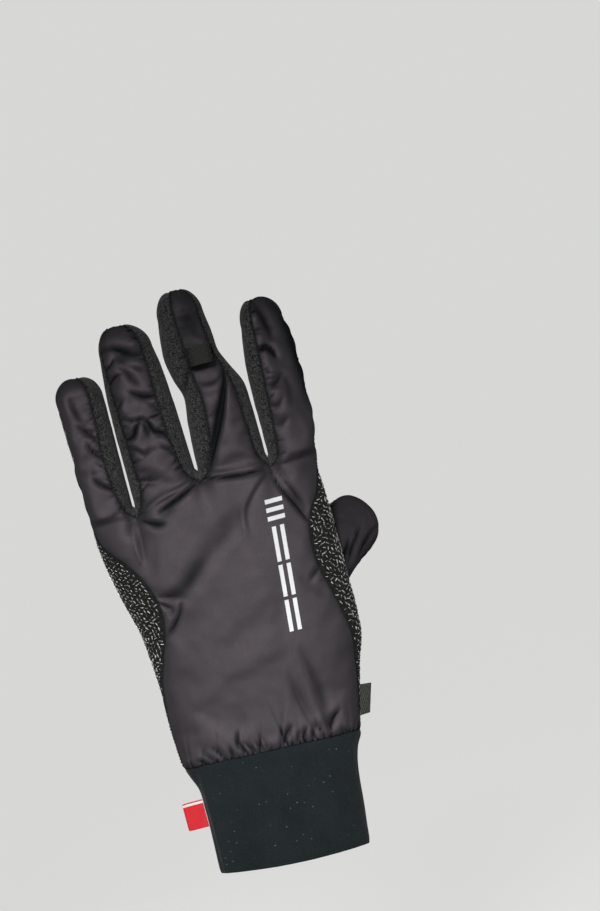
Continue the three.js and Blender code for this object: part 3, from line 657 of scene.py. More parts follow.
def grid_cloth(front: np.ndarray, back: np.ndarray, flat: np.ndarray) -> Cloth:
    """A closed piece from two grids of points.

    Args:
        front: rows of points of the outer face, from left to right and from bottom to top.
        back: the points behind them.
        flat: each point's place on the flat cloth.

    Returns:
        The closed piece.
    """
    rows, columns = front.shape[:2]
    quads = face_corners(np.arange(rows * columns).reshape(rows, columns)).reshape(-1, 4)
    return thicken(front.reshape(-1, 3), back.reshape(-1, 3), quads, flat.reshape(-1, 2)[quads])


def panel_cloth(skin: Skin, panel: str, heights: np.ndarray, wall: float, gap: float,
                keep: np.ndarray | None = None, fold: np.ndarray | None = None) -> Cloth:
    """Makes one panel a closed body with a wall.

    Args:
        skin: the surface that the panel is a part of.
        panel: the panel's name.
        heights: how far each of the skin's points is moved out.
        wall: thickness of the cloth.
        gap: half of the gap that the panel keeps to its neighbours.
        keep: which of the panel's faces stay, all of them if left out.
        fold: how much shade is painted on each of the skin's points.

    Returns:
        The panel's shape.
    """
    quads, uvs = skin.quads(panel), skin.corner_uvs(panel)
    if keep is not None:
        quads, uvs = quads[keep], uvs[keep]
    used, local = np.unique(quads, return_inverse=True)
    local = local.reshape(quads.shape)
    base, normal, height = skin.points[used], skin.normals()[used], heights[used, None]
    outer = base + normal * height
    rim = rim_edges(local)
    run = outer[rim[:, 1]] - outer[rim[:, 0]]
    inward = unit(np.cross(normal[rim[:, 0]] + normal[rim[:, 1]], run))
    pull = np.zeros_like(outer)
    for end in (0, 1):
        np.add.at(pull, rim[:, end], inward)
    size = (pull**2).sum(axis=1, keepdims=True)
    pull *= 2 * gap / np.maximum(size, 1.0)
    inner = base + normal * (height * 0.85 - wall) + pull
    return thicken(outer + pull, inner, local, uvs, None if fold is None else fold[used])


def enlist(piece: bpy.types.Object, slot: Slot, *nodes: str) -> bpy.types.Object:
    """Puts a finished piece on the glove's body.

    Args:
        piece: the piece.
        slot: the record's finish that the piece stands for; not used.
        nodes: the parts that it stands for.

    Returns:
        The same piece.
    """
    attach(piece, "root")
    if nodes:
        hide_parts(*nodes)
    LOG.info("%s: %d faces", piece.name, len(piece.data.polygons))
    return piece


class Bench:
    """A new material and the short calls that wire its nodes."""

    def __init__(self, name: str) -> None:
        """Makes an empty material with its shader.

        Args:
            name: the material's name.
        """
        self.material = bpy.data.materials.new(name)
        self.material.use_nodes = True
        self.nodes = self.material.node_tree.nodes
        self.links = self.material.node_tree.links
        self.shader = self.nodes["Principled BSDF"]

    def node(self, kind: str, settings: dict[str, str] | None = None, **inputs: Feed) -> bpy.types.Node:
        """Adds a node.

        Args:
            kind: the node's type, without its ShaderNode prefix.
            settings: values of its own properties.
            inputs: values or sockets for its inputs, with _ for a blank.

        Returns:
            The new node.
        """
        made = self.nodes.new("ShaderNode" + kind)
        for key, value in (settings or {}).items():
            setattr(made, key, value)
        for key, value in inputs.items():
            self.feed(made.inputs[key.replace("_", " ")], value)
        return made

    def feed(self, socket: bpy.types.NodeSocket, value: Feed) -> None:
        """Links a socket to an input, or sets the input's value.

        Args:
            socket: the input.
            value: what goes in, a colour without its alpha.
        """
        if isinstance(value, bpy.types.NodeSocket):
            self.links.new(value, socket)
        elif socket.type == "RGBA":
            socket.default_value = (*value, 1.0)
        else:
            socket.default_value = value

    def math(self, operation: str, first: Feed, second: Feed) -> bpy.types.NodeSocket:
        """Works out one number from two.

        Args:
            operation: the Math node's operation.
            first: the first number.
            second: the second number.

        Returns:
            The result.
        """
        made = self.node("Math", {"operation": operation})
        self.feed(made.inputs[0], first)
        self.feed(made.inputs[1], second)
        return made.outputs[0]

    def blend(self, share: Feed, first: Feed, second: Feed) -> bpy.types.NodeSocket:
        """Mixes two colours.

        Args:
            share: the second colour's share.
            first: the first colour.
            second: the second colour.

        Returns:
            The mixed colour.
        """
        made = self.node("Mix", {"data_type": "RGBA"})
        for index, value in ((0, share), (6, first), (7, second)):
            self.feed(made.inputs[index], value)
        return made.outputs[2]

    def place(self, scale: float, flat: bool = False) -> bpy.types.NodeSocket:
        """Gives coordinates in millimetres times a scale.

        Args:
            scale: what they are multiplied by.
            flat: whether they run along the flat cloth, and not through space.

        Returns:
            The coordinates.
        """
        source = self.node("TexCoord").outputs["UV" if flat else "Object"]
        return self.node("Mapping", Vector=source, Scale=(scale / MM,) * 3).outputs["Vector"]

    def noise(self, size: float, detail: float = 2.0, rough: float = 0.5) -> bpy.types.NodeSocket:
        """Noise from 0 to 1 with patches of that size in millimetres."""
        return self.node("TexNoise", Vector=self.place(1 / size), Scale=1.0, Detail=detail,
                         Roughness=rough).outputs["Fac"]

    def bands(self, direction: str, width: float, distortion: float = 0.0) -> bpy.types.NodeSocket:
        """Makes soft bands across the flat cloth.

        Args:
            direction: X or Y, the way in which they follow one another.
            width: the width of one in millimetres.
            distortion: how far they are bent.

        Returns:
            The bands, from 0 to 1.
        """
        settings = {"wave_type": "BANDS", "bands_direction": direction}
        return self.node("TexWave", settings, Vector=self.place(1 / width, flat=True), Scale=0.5,
                         Distortion=distortion).outputs["Fac"]

    def folded(self, colour: Feed, deep: Colour, most: float) -> bpy.types.NodeSocket:
        """Paints shade into a colour where the fold attribute is high, in folds and by seams, with that share
        of the deep colour at the most.
        """
        return self.blend(self.span(self.fold(), 0.1, 0.9, 0.0, most), colour, deep)

    def fold(self) -> bpy.types.NodeSocket:
        """The painted shade that the mesh's fold attribute holds, from 0 at none to 1 at the most."""
        return self.node("Attribute", {"attribute_name": "fold"}).outputs["Fac"]

    def span(self, value: Feed, low: float, high: float, out_low: float = 0.0,
             out_high: float = 1.0) -> bpy.types.NodeSocket:
        """Maps a range of numbers onto another one, held level outside.

        Args:
            value: the number.
            low: start of its range.
            high: end of its range.
            out_low: what low becomes.
            out_high: what high becomes.

        Returns:
            The mapped number.
        """
        return self.node("MapRange", Value=value, From_Min=low, From_Max=high, To_Min=out_low,
                         To_Max=out_high).outputs["Result"]

    def bump(self, height: Feed, distance: float, strength: float,
             under: bpy.types.NodeSocket | None = None) -> bpy.types.NodeSocket:
        """Makes a bump.

        Args:
            height: its height, from 0 to 1.
            distance: the height in millimetres that 1 stands for.
            strength: how strongly it shows.
            under: another bump that it lies on.

        Returns:
            The normal.
        """
        made = self.node("Bump", Strength=strength, Distance=distance * MM, Height=height)
        if under is not None:
            self.feed(made.inputs["Normal"], under)
        return made.outputs["Normal"]

    def finish(self, **inputs: Feed) -> bpy.types.Material:
        """Sets the shader's inputs.

        Args:
            inputs: values or sockets for them, with _ for a blank.

        Returns:
            The material.
        """
        for key, value in inputs.items():
            self.feed(self.shader.inputs[key.replace("_", " ")], value)
        return self.material


def tinted(colour: Colour, factor: float) -> Colour:
    """The colour, darker or lighter by a factor."""
    return tuple(factor * channel for channel in colour)


@dataclass(frozen=True)
class NylonFinish:
    """Satin windproof nylon over padding: a close plain weave with a soft gloss, and painted shade in its
    folds.
    """

    base: Colour = (0.024, 0.023, 0.025)
    worn: Colour = (0.030, 0.028, 0.031)
    # Colour of the painted shade in the folds and along the seams
    deep: Colour = (0.004, 0.0065, 0.007)
    gloss: float = 0.64
    gloss_tint: Colour = (1.0, 0.84, 0.93)
    thread: float = 0.32
    roughness: float = 0.62

    def material(self) -> bpy.types.Material:
        """Builds the material.

        Returns:
            The new material.
        """
        bench = Bench("satin nylon")
        weave = bench.math("MULTIPLY", bench.bands("X", self.thread), bench.bands("Y", self.thread))
        colour = bench.blend(bench.span(bench.noise(9.0, 3.0), 0.35, 0.65), self.base, self.worn)
        # Painted shade also takes the gloss out of the folds
        gloss = bench.span(bench.fold(), 0.1, 0.9, self.gloss, 0.1 * self.gloss)
        rough = bench.span(bench.noise(0.9), 0.3, 0.7, self.roughness - 0.03, self.roughness + 0.05)
        wrinkle = bench.bump(bench.noise(2.6, 3.0), 0.10, 0.25)
        normal = bench.bump(weave, 0.03, 0.35, wrinkle)
        return bench.finish(Base_Color=bench.folded(colour, self.deep, 0.9), Roughness=rough, Normal=normal,
                            Specular_IOR_Level=gloss, Specular_Tint=self.gloss_tint)


@dataclass(frozen=True)
class FleeceFinish:
    """Brushed fleece: short pile with paler fibre ends."""

    # Colour of the pile's dark roots, and of the painted shade in the folds and by the seams
    deep: Colour = (0.004, 0.005, 0.005)
    tips: Colour = (0.092, 0.090, 0.089)

    def material(self) -> bpy.types.Material:
        """Builds the material.

        Returns:
            The new material.
        """
        bench = Bench("brushed fleece")
        pile = bench.math("MULTIPLY", bench.noise(0.55, 4.0, 0.7), 0.9)
        tufts = bench.math("MULTIPLY", bench.noise(1.7, 3.0, 0.6), 0.2)
        height = bench.math("ADD", pile, tufts)
        colour = bench.blend(bench.span(height, 0.47, 0.67), self.deep, self.tips)
        # The fold attribute paints shade into the pile in its folds and by its seams
        return bench.finish(Base_Color=bench.folded(colour, self.deep, 0.85), Roughness=0.95,
                            Normal=bench.bump(height, 0.5, 0.9), Sheen_Weight=0.12, Sheen_Roughness=0.5,
                            Specular_IOR_Level=0.15)


@dataclass(frozen=True)
class GripFinish:
    """Black knitted grip cloth, under the raised dashes."""

    deep: Colour = (0.008, 0.008, 0.008)
    tips: Colour = (0.032, 0.030, 0.027)
    stitch: float = 0.8

    def material(self) -> bpy.types.Material:
        """Builds the material.

        Returns:
            The new material.
        """
        bench = Bench("grip knit")
        cells = bench.node("TexVoronoi", {"feature": "F1"}, Vector=bench.place(1 / self.stitch), Scale=1.0)
        lint = bench.noise(0.6, 3.0, 0.7)
        height = bench.math("ADD", bench.math("MULTIPLY", cells.outputs["Distance"], -0.8), lint)
        colour = bench.blend(bench.span(height, 0.0, 0.5), self.deep, self.tips)
        return bench.finish(Base_Color=colour, Roughness=0.85, Normal=bench.bump(height, 0.35, 0.9),
                            Sheen_Weight=0.06, Specular_IOR_Level=0.18)


@dataclass(frozen=True)
class SiliconeFinish:
    """Pale printed silicone of the grip dashes."""

    base: Colour = (0.76, 0.77, 0.72)
    worn: Colour = (0.03, 0.03, 0.027)

    def material(self) -> bpy.types.Material:
        """Builds the material.

        Returns:
            The new material.
        """
        bench = Bench("printed silicone")
        rubbed = bench.span(bench.noise(1.6, 2.0, 0.6), 0.36, 0.60, 0.0, 0.95)
        colour = bench.blend(rubbed, self.base, self.worn)
        return bench.finish(Base_Color=colour, Roughness=0.28, Specular_IOR_Level=0.6)


@dataclass(frozen=True)
class KnitFinish:
    """Close stretch knit of the cuff, with a little lint."""

    base: Colour = (0.0115, 0.0170, 0.0187)
    fuzz: Colour = (0.035, 0.042, 0.044)
    lint: Colour = (0.30, 0.31, 0.27)
    lint_apart: float = 3.4
    rib: float = 0.55

    def material(self) -> bpy.types.Material:
        """Builds the material.

        Returns:
            The new material.
        """
        bench = Bench("stretch knit")
        fuzz = bench.noise(0.7, 4.0, 0.65)
        colour = bench.blend(bench.span(bench.noise(14.0), 0.35, 0.65), tinted(self.base, 0.72), self.base)
        colour = bench.blend(bench.span(fuzz, 0.45, 0.8, 0.0, 0.35), colour, self.fuzz)
        dots = bench.node("TexVoronoi", {"feature": "F1", "voronoi_dimensions": "2D"},
                          Vector=bench.place(1 / self.lint_apart, flat=True), Scale=1.0)
        chance = bench.node("SeparateColor", Color=dots.outputs["Color"]).outputs["Red"]
        speck = bench.span(dots.outputs["Distance"], 0.05, 0.09, 1.0, 0.0)
        speck = bench.math("MULTIPLY", speck, bench.span(chance, 0.88, 1.0, 0.0, 0.6))
        height = bench.math("ADD", bench.math("MULTIPLY", bench.bands("X", self.rib, 0.6), 0.4), fuzz)
        return bench.finish(Base_Color=bench.blend(speck, colour, self.lint), Roughness=0.9,
                            Normal=bench.bump(height, 0.14, 0.6), Sheen_Weight=0.12, Sheen_Roughness=0.5,
                            Specular_IOR_Level=0.2)


@dataclass(frozen=True)
class RibbonFinish:
    """Red satin ribbon with a pale woven line near its top edge."""

    base: Colour = (0.74, 0.009, 0.020)
    line: Colour = (0.80, 0.77, 0.77)
    line_low: float = 11.2
    line_high: float = 12.3
    thread: float = 0.3

    def material(self) -> bpy.types.Material:
        """Builds the material.

        Returns:
            The new material.
        """
        bench = Bench("red ribbon")
        spot = bench.node("SeparateXYZ", Vector=bench.place(1.0, flat=True))
        up = bench.math("GREATER_THAN", spot.outputs["Y"], self.line_low)
        down = bench.math("LESS_THAN", spot.outputs["Y"], self.line_high)
        shade = bench.blend(bench.noise(2.5), self.base, tinted(self.base, 0.8))
        colour = bench.blend(bench.math("MULTIPLY", up, down), shade, self.line)
        normal = bench.bump(bench.bands("Y", self.thread, 0.4), 0.05, 0.5)
        return bench.finish(Base_Color=colour, Roughness=0.5, Normal=normal, Specular_IOR_Level=0.25)


@dataclass(frozen=True)
class TapeFinish:
    """Grosgrain tape: fine ribs across, dark with a grey-green cast."""

    deep: Colour = (0.010, 0.011, 0.009)
    ridge: Colour = (0.085, 0.090, 0.070)
    rib: float = 1.3
    name: str = "grosgrain tape"

    def material(self) -> bpy.types.Material:
        """Builds the material.

        Returns:
            The new material.
        """
        bench = Bench(self.name)
        fuzz = bench.span(bench.noise(0.5, 3.0, 0.7), 0.35, 0.62, 0.15, 1.3)
        height = bench.math("MULTIPLY", bench.bands("X", self.rib, 1.0), fuzz)
        return bench.finish(Base_Color=bench.blend(height, self.deep, self.ridge), Roughness=0.8,
                            Normal=bench.bump(height, 0.12, 0.7), Specular_IOR_Level=0.3)


@dataclass(frozen=True)
class ReflectiveFinish:
    """Thin reflective print, nearly white."""

    base: Colour = (0.86, 0.86, 0.87)

    def material(self) -> bpy.types.Material:
        """Builds the material.

        Returns:
            The new material.
        """
        bench = Bench("reflective print")
        colour = bench.blend(bench.noise(6.0), self.base, tinted(self.base, 0.93))
        normal = bench.bump(bench.noise(0.25), 0.03, 0.3)
        return bench.finish(Base_Color=colour, Roughness=0.45, Normal=normal)


@dataclass(frozen=True)
class ThreadFinish:
    """Black sewing thread."""

    base: Colour = (0.003, 0.003, 0.003)

    def material(self) -> bpy.types.Material:
        """Builds the material.

        Returns:
            The new material.
        """
        bench = Bench("black thread")
        ply = bench.noise(0.2)
        colour = bench.blend(ply, self.base, tinted(self.base, 2.2))
        return bench.finish(Base_Color=colour, Roughness=0.7, Normal=bench.bump(ply, 0.05, 0.5))


def hand_table() -> Table:
    """The hand's outer edges, and where the back panel's seams lie as seen from the front.

    Returns:
        The hand's table, in millimetres along its height.
    """
    return Table("z left right seam_left seam_right mid_y half_depth", [
        (-180, -57.6, 25.4, -57.6, 25.4, 16.8, 11.0),
        (-172, -58.4, 27.2, -58.4, 27.2, 16.8, 12.0),
        (-160, -58.9, 30.0, -58.9, 29.6, 16.7, 12.6),
        (-150, -59.0, 32.8, -58.8, 31.2, 16.6, 13.2),
        (-137, -58.6, 36.8, -57.3, 32.8, 16.5, 14.0),
        (-125, -59.4, 37.6, -53.6, 31.4, 16.5, 14.6),
        (-114, -60.4, 37.7, -49.8, 29.0, 16.5, 15.0),
        (-103, -63.0, 37.7, -48.8, 26.2, 16.5, 15.2),
        (-91, -66.0, 37.7, -52.2, 25.8, 16.4, 15.0),
        (-80, -68.0, 37.6, -58.8, 28.2, 16.1, 14.2),
        (-70, -69.1, 37.3, -67.0, 34.0, 15.7, 13.2),
        (-60, -69.6, 37.2, -69.6, 37.2, 15.2, 12.0),
        (-52, -69.8, 38.4, -69.8, 38.4, 15.0, 11.0),
    ])


@dataclass(frozen=True)
class Crotch:
    """Where two fingers part, and where the line down from there meets the wrist."""

    x: float
    z: float
    wrist_x: float


@dataclass(frozen=True)
class Finger:
    """One finger: its tip, its sections, and how its back seams are puckered."""

    name: str
    tip: tuple[float, float, float]
    tip_height: float
    table: Table
    strips: int
    left_puckers: Puckers
    right_puckers: Puckers


def finger_tables() -> tuple[Finger, ...]:
    """The four fingers, each with its own table.

    Returns:
        The fingers, pinky first.
    """
    both = "z left right seam_left seam_right mid_y half_depth"
    return (
        Finger("pinky", (-60.4, 20.0, 8.8), 10.0, Table("z left right seam_right mid_y half_depth", [
            (-60, -69.6, -49.2, -51.0, 15.2, 9.6),
            (-52, -69.8, -49.1, -53.6, 15.0, 9.4),
            (-44, -70.0, -49.1, -55.2, 15.0, 9.3),
            (-30, -70.5, -49.1, -56.1, 15.2, 9.1),
            (-12, -71.0, -49.0, -55.1, 16.2, 8.9),
            (-1, -70.8, -49.2, -55.1, 17.6, 8.6),
        ]), 34, Puckers(4.0, 0.1, 3.0, 11), Puckers(2.3, 0.8, 2.2, 12)),
        Finger("ring", (-36.4, 22.0, 27.2), 13.0, Table(both, [
            (-60, -48.0, -16.8, -46.6, -17.4, 15.0, 10.2),
            (-50, -48.1, -17.2, -43.7, -18.9, 14.8, 10.0),
            (-44, -48.1, -17.5, -43.9, -22.0, 14.8, 9.9),
            (-28, -48.1, -18.1, -44.5, -24.5, 14.8, 9.8),
            (-10, -48.0, -18.9, -45.0, -25.4, 15.4, 9.7),
            (4, -47.3, -20.0, -45.6, -25.5, 16.6, 9.6),
            (14, -46.4, -21.6, -45.6, -25.9, 18.4, 9.3),
        ]), 40, Puckers(2.6, 0.8, 2.6, 13), Puckers(2.2, 0.95, 2.5, 14)),
        Finger("middle", (-6.4, 24.4, 36.2), 12.0, Table(both, [
            (-52, -15.9, 15.6, -15.0, 14.6, 14.8, 10.4),
            (-46, -16.0, 15.6, -10.8, 12.1, 14.6, 10.4),
            (-38, -15.8, 15.6, -8.0, 11.6, 14.4, 10.4),
            (-26, -15.0, 15.2, -6.2, 10.8, 14.2, 10.2),
            (-14, -13.8, 14.5, -5.9, 10.1, 14.2, 9.8),
            (-5, -16.2, 10.6, -7.2, 8.0, 14.0, 8.2),
            (3, -17.9, 7.2, -7.9, 5.4, 13.6, 8.8),
            (12, -17.8, 6.4, -8.0, 4.2, 16.0, 9.2),
            (24, -16.4, 4.8, -8.8, 3.0, 20.6, 9.2),
        ]), 38, Puckers(2.6, 0.4, 2.0, 15), Puckers(2.4, 0.4, 2.0, 16)),
        Finger("index", (28.6, 24.0, 23.2), 12.0, Table("z left right seam_left mid_y half_depth roll", [
            (-54, 16.5, 38.2, 17.4, 15.0, 10.2, 0.0),
            (-50, 16.6, 38.8, 20.4, 14.9, 10.1, 0.02),
            (-40, 16.7, 40.8, 22.0, 14.8, 9.8, 0.1),
            (-24, 16.8, 41.6, 23.2, 15.0, 9.6, 0.2),
            (-8, 17.2, 41.8, 24.2, 16.2, 9.4, 0.32),
            (4, 18.4, 41.2, 24.8, 18.0, 9.2, 0.4),
            (11, 19.6, 39.8, 25.1, 19.6, 9.0, 0.4),
        ]), 36, Puckers(2.3, 0.8, 2.2, 17), Puckers(4.0, 0.1, 3.0, 18)),
    )


# The folds of the nylon back, each along a line seen from the front, with the sizes that Crease lists; each
# also paints shade, and a few nearly flat ones stand only for painted shade
BACK_CREASES = tuple(Crease(*row) for row in (
    # Knuckles and the middle of the hand
    (((1, -67), (-5, -71.5), (-13, -77.6), (-21, -83), (-29, -90.8), (-37, -97.2)), 0.5, 4.8, 0.0, 0.2, 1.12),
    # Nearly flat: paints more shade into the lower half of the knuckle band
    (((-20, -82), (-28, -89.8), (-36, -96.6), (-44, -99.2)), 0.3, 4.0, 0.0, 0.2, 2.7),
    (((-4, -80), (-20, -93), (-34, -105)), -0.5, 5.0),
    (((-36.4, -100.2), (-41, -98.8), (-48.0, -97.8)), 1.0, 1.2, 0.0, 0.0, 0.9, -0.3),
    (((-47.2, -61.6), (-43, -64.0), (-39.5, -65.6), (-36.4, -65.6)), 1.5, 0.95, 0.5, 0.3, 0.9, 0.45),
    (((-37.5, -64.2), (-33.6, -61.4), (-30, -60.4)), 0.7, 2.2, 0.0, 0.0, 0.7),
    (((-17.5, -52), (-24, -55.2), (-30.5, -57.9), (-37.2, -60.6)), 1.7, 0.85, 0.4, 0.2, 0.9, 0.3),
    (((-25.5, -52.8), (-33, -55.6), (-41.5, -57.6)), 0.7, 0.6, 0.3, 0.0, 0.9),
    (((-14, -51.2), (-4, -52.8), (4, -53.6), (13, -53.6)), 1.4, 0.75, 0.4, 0.3, 0.9, 0.2),
    (((-15.2, -50.4), (-12.6, -50.9)), 1.4, 0.8),
    (((16.0, -55), (17.9, -63.6), (23.0, -73.4), (26.6, -81.4)), 1.5, 0.65, 0.5, -0.3, 0.9, 0.2),
    (((17.4, -55), (20.8, -60.8), (24.9, -69.8), (27.3, -76)), 1.1, 0.6, 0.4, -0.2, 0.9, 0.4),
    (((20.6, -66), (24.8, -74), (27.6, -82)), 0.9, 1.7, 0.0, -0.5, 0.55),
    (((12.8, -55), (4, -63), (-1, -70), (-2.2, -80)), -0.7, 1.3),
    (((14.0, -56), (5.4, -64), (1.0, -71), (0.0, -79)), 0.6, 1.0, 0.0, 0.0, 0.55),
    (((-51.0, -62.5), (-51.8, -70), (-52.0, -80)), -0.6, 0.9),
    (((-48.6, -62.4), (-48.8, -70), (-49.6, -80)), 0.6, 1.3, 0.0, 0.0, 0.75),
    (((-50.2, -61.2), (-52.4, -64.2), (-53.8, -67)), 0.9, 0.6, 0.3),
    # Beside the grip bands
    (((-39.2, -102.6), (-40.4, -106.4), (-42.6, -109.6), (-46, -113.4), (-49.8, -115.8)), 1.2, 0.75, 0.3),
    (((-48.8, -100.6), (-46, -102.4), (-43.4, -104.6)), 1.0, 0.6, 0.3),
    (((-46.2, -105.6), (-41.6, -106)), 0.4, 2.4, 0.0, 0.0, 1.2),
    (((20.8, -107.8), (24, -105), (26.6, -103.2)), 0.8, 0.9, 0.3),
    (((27.5, -118), (21, -112), (16, -104)), 0.5, 3.0, 0, 0, 0.5),
    # Above the cuff
    (((8.2, -138), (10.4, -149), (12.2, -160), (12.4, -171)), 0.9, 2.2, 0.2, -0.15, 0.6, 0.2),
    (((0.4, -148), (1.2, -156), (2.6, -164), (4.6, -173)), 0.7, 2.2, 0.2, -0.3, 0.6),
    (((6.4, -150), (8, -160), (9, -172)), -0.5, 2.0),
    (((17.4, -168.6), (14.6, -171.2), (12.6, -174), (11.8, -177)), 1.8, 0.8),
    (((-42.0, -170.2), (-40.0, -173.2), (-37.4, -177.6)), 1.3, 0.6),
    (((-50.4, -173.8), (-45.6, -177.4)), 1.0, 0.5),
    (((-46.0, -172.4), (-41.6, -177.4)), 1.0, 0.55),
    (((-34.6, -171.6), (-34.0, -177.6)), 0.9, 0.9),
    (((-29.0, -165.8), (-30.4, -170.0), (-30.2, -173)), 1.1, 0.5),
    (((-30.6, -170.6), (-27.0, -177.2)), 1.3, 0.6),
    (((-27.4, -171.4), (-22.8, -177.6)), 1.2, 0.55),
    (((-22.8, -172.2), (-19.4, -177.6)), 1.0, 0.5),
    (((-18.8, -171), (-17.6, -177.8)), 0.8, 0.5),
    (((-4.8, -169.4), (-8.4, -173.0), (-10.8, -177.6)), 1.5, 0.6),
    (((-1.6, -172.8), (-4.4, -177.6)), 0.9, 0.45),
    (((1.6, -172.0), (-0.4, -174.8), (-1.2, -178)), 1.3, 0.5),
    (((4.4, -173.6), (3.4, -178)), 1.2, 0.45),
    (((6.2, -172.0), (7.6, -175.0), (8.4, -178.4)), 1.3, 0.5),
    (((16.6, -176.8), (20.6, -179.2)), 0.9, 0.5),
    (((-25.5, -153), (-26, -160), (-26, -167)), 0.4, 5.0, 0, 0, 0.5),
    (((9, -100), (4, -120), (1.5, -140)), 0.5, 4.2, 0, 0, 0.3),
    # Ring finger
    (((-46.5, 17.2), (-40, 17.2), (-35.5, 14.8), (-30, 12.4), (-24.6, 12.4)), 1.5, 1.9, 0.4, 0.2, 0.65),
    (((-39, 15), (-36.6, 10.5), (-35.8, 6.5)), 0.7, 2.2, 0.0, 0.0, 0.6),
    (((-46.4, 8.0), (-43.1, 9.7), (-40.2, 12.8)), 1.2, 0.65, 0.3),
    (((-46.6, 0.8), (-42.6, 3.7), (-38.2, 5.2)), 1.2, 0.65, 0.3),
    (((-38.2, 8), (-35, 3.7), (-31.4, -3.0)), 1.1, 1.1, 0.3),
    (((-35, 8), (-30, 4.8), (-25, 3.0)), 0.9, 0.7, 0.3),
    (((-36.4, -4.4), (-31.7, -7.4), (-24.6, -8.8)), 1.6, 0.8, 0.5, 0.3, 0.8),
    (((-29.8, -11), (-25.2, -15)), 0.8, 1.0, 0.2),
    (((-45.2, -11), (-41.6, -7.8)), 0.9, 0.6, 0.3),
    (((-43.6, -15.4), (-38.6, -17.4), (-34, -17.4)), 1.1, 0.65, 0.3),
    (((-31.7, -18.4), (-24, -16.8)), 1.1, 0.65, 0.3),
    (((-46, -24.8), (-41, -24.2), (-38, -20.4), (-35, -17.6)), 1.5, 0.85, 0.4, 0.3, 0.85),
    (((-35.2, -17.6), (-32.2, -19.4), (-30.6, -23.8), (-26, -26.2), (-23.4, -29.4)),
     1.6, 0.9, 0.4, 0.3, 0.85),
    (((-34.2, -18.6), (-33, -27)), 1.0, 1.4, 0.0, 0.0, 0.8),
    (((-45, -29.8), (-41, -30.4), (-37.2, -33.2), (-34.4, -31.6), (-31, -31)), 1.0, 0.75, 0.3),
    (((-29.6, -30.6), (-23.4, -36)), 1.0, 0.7, 0.3),
    (((-44.6, -44.4), (-40, -45), (-34.4, -46)), 1.1, 0.55, 0.3),
    (((-43.6, -46), (-36.4, -48)), 0.9, 0.55, 0.3),
    (((-30, 22), (-26.8, 18.5)), 0.6, 1.2, 0.2),
    # Pinky
    (((-64.4, -0.6), (-63.3, -6.7), (-61.3, -13.0)), 1.0, 1.1, 0.3, 0.0, 0.8),
    (((-62.8, -13.8), (-59.9, -17.2), (-55.6, -22.0)), 1.3, 0.8, 0.4, 0.2, 0.9, -0.3),
    (((-61.6, -20.6), (-59.6, -26.7), (-54.6, -31.4)), 1.2, 0.7, 0.4, 0.2, 0.9),
    (((-63.4, -38.0), (-59.4, -42.0), (-53.8, -45.8)), 1.4, 0.7, 0.4, 0.2, 0.9),
    (((-63.4, -36.8), (-60.8, -35.4)), 0.6, 0.6, 0.2),
    (((-59.6, -30), (-57, -33.6)), 0.5, 1.0),
    # Index
    (((25.2, -1.2), (28.6, -0.4), (30.4, -3.0), (31.4, -6.0)), 1.8, 1.5, 0.4, 0.0, 0.9),
    (((25, 8.6), (28.6, 9.2)), 0.8, 0.9, 0.3),
    (((24.8, -1), (28, 0)), 0.8, 0.9, 0.3),
    (((24.4, -10), (27.4, -12)), 0.9, 0.9, 0.3),
    (((23.8, -17.7), (27.2, -18.2), (31.6, -14.8)), 1.1, 1.2, 0.4),
    (((23.6, -27), (26.9, -27.4), (29.6, -24)), 0.9, 1.1, 0.3),
    (((23, -36), (26, -36.4), (29, -34)), 0.8, 1.0, 0.3),
    # Painted shade on the index's tip, over a shallow crease
    (((27.4, 21), (30, 14), (31.4, 8), (31.6, 2)), 0.9, 2.2, 0.0, 0.0, 1.0),
    # Painted shade over the index's turned-away right side and tip
    (((34, 20.5), (38.4, 13), (40.4, 2), (41, -14), (40.6, -32)), 0.4, 3.4, 0.0, 0.0, 2.4),
    (((29, -12), (33.8, -18), (32.6, -29)), 0.7, 2.2, 0.2, 0, 0.7),
    (((27.5, 14), (28, -10), (28.5, -42)), -1.3, 4.6),
    # Middle
    (((8.4, -5.5), (6.0, -13), (2.4, -22), (-2.4, -32), (-10.4, -46)), 2.6, 1.75, 0.0, 0.62, 0.7, 0.35),
    (((-7.6, 0.5), (-10.4, -5), (-13.4, -11.5)), 1.3, 0.8, 0.8),
    (((-6.5, -8), (0, -9.4), (7, -7.4)), 0.9, 1.4, 0.3),
    # Painted shadow over the middle finger's tip
    (((-1, 34), (-3, 22), (-4.5, 8)), 0.3, 6.0, 0.0, 0.0, 2.4),
))


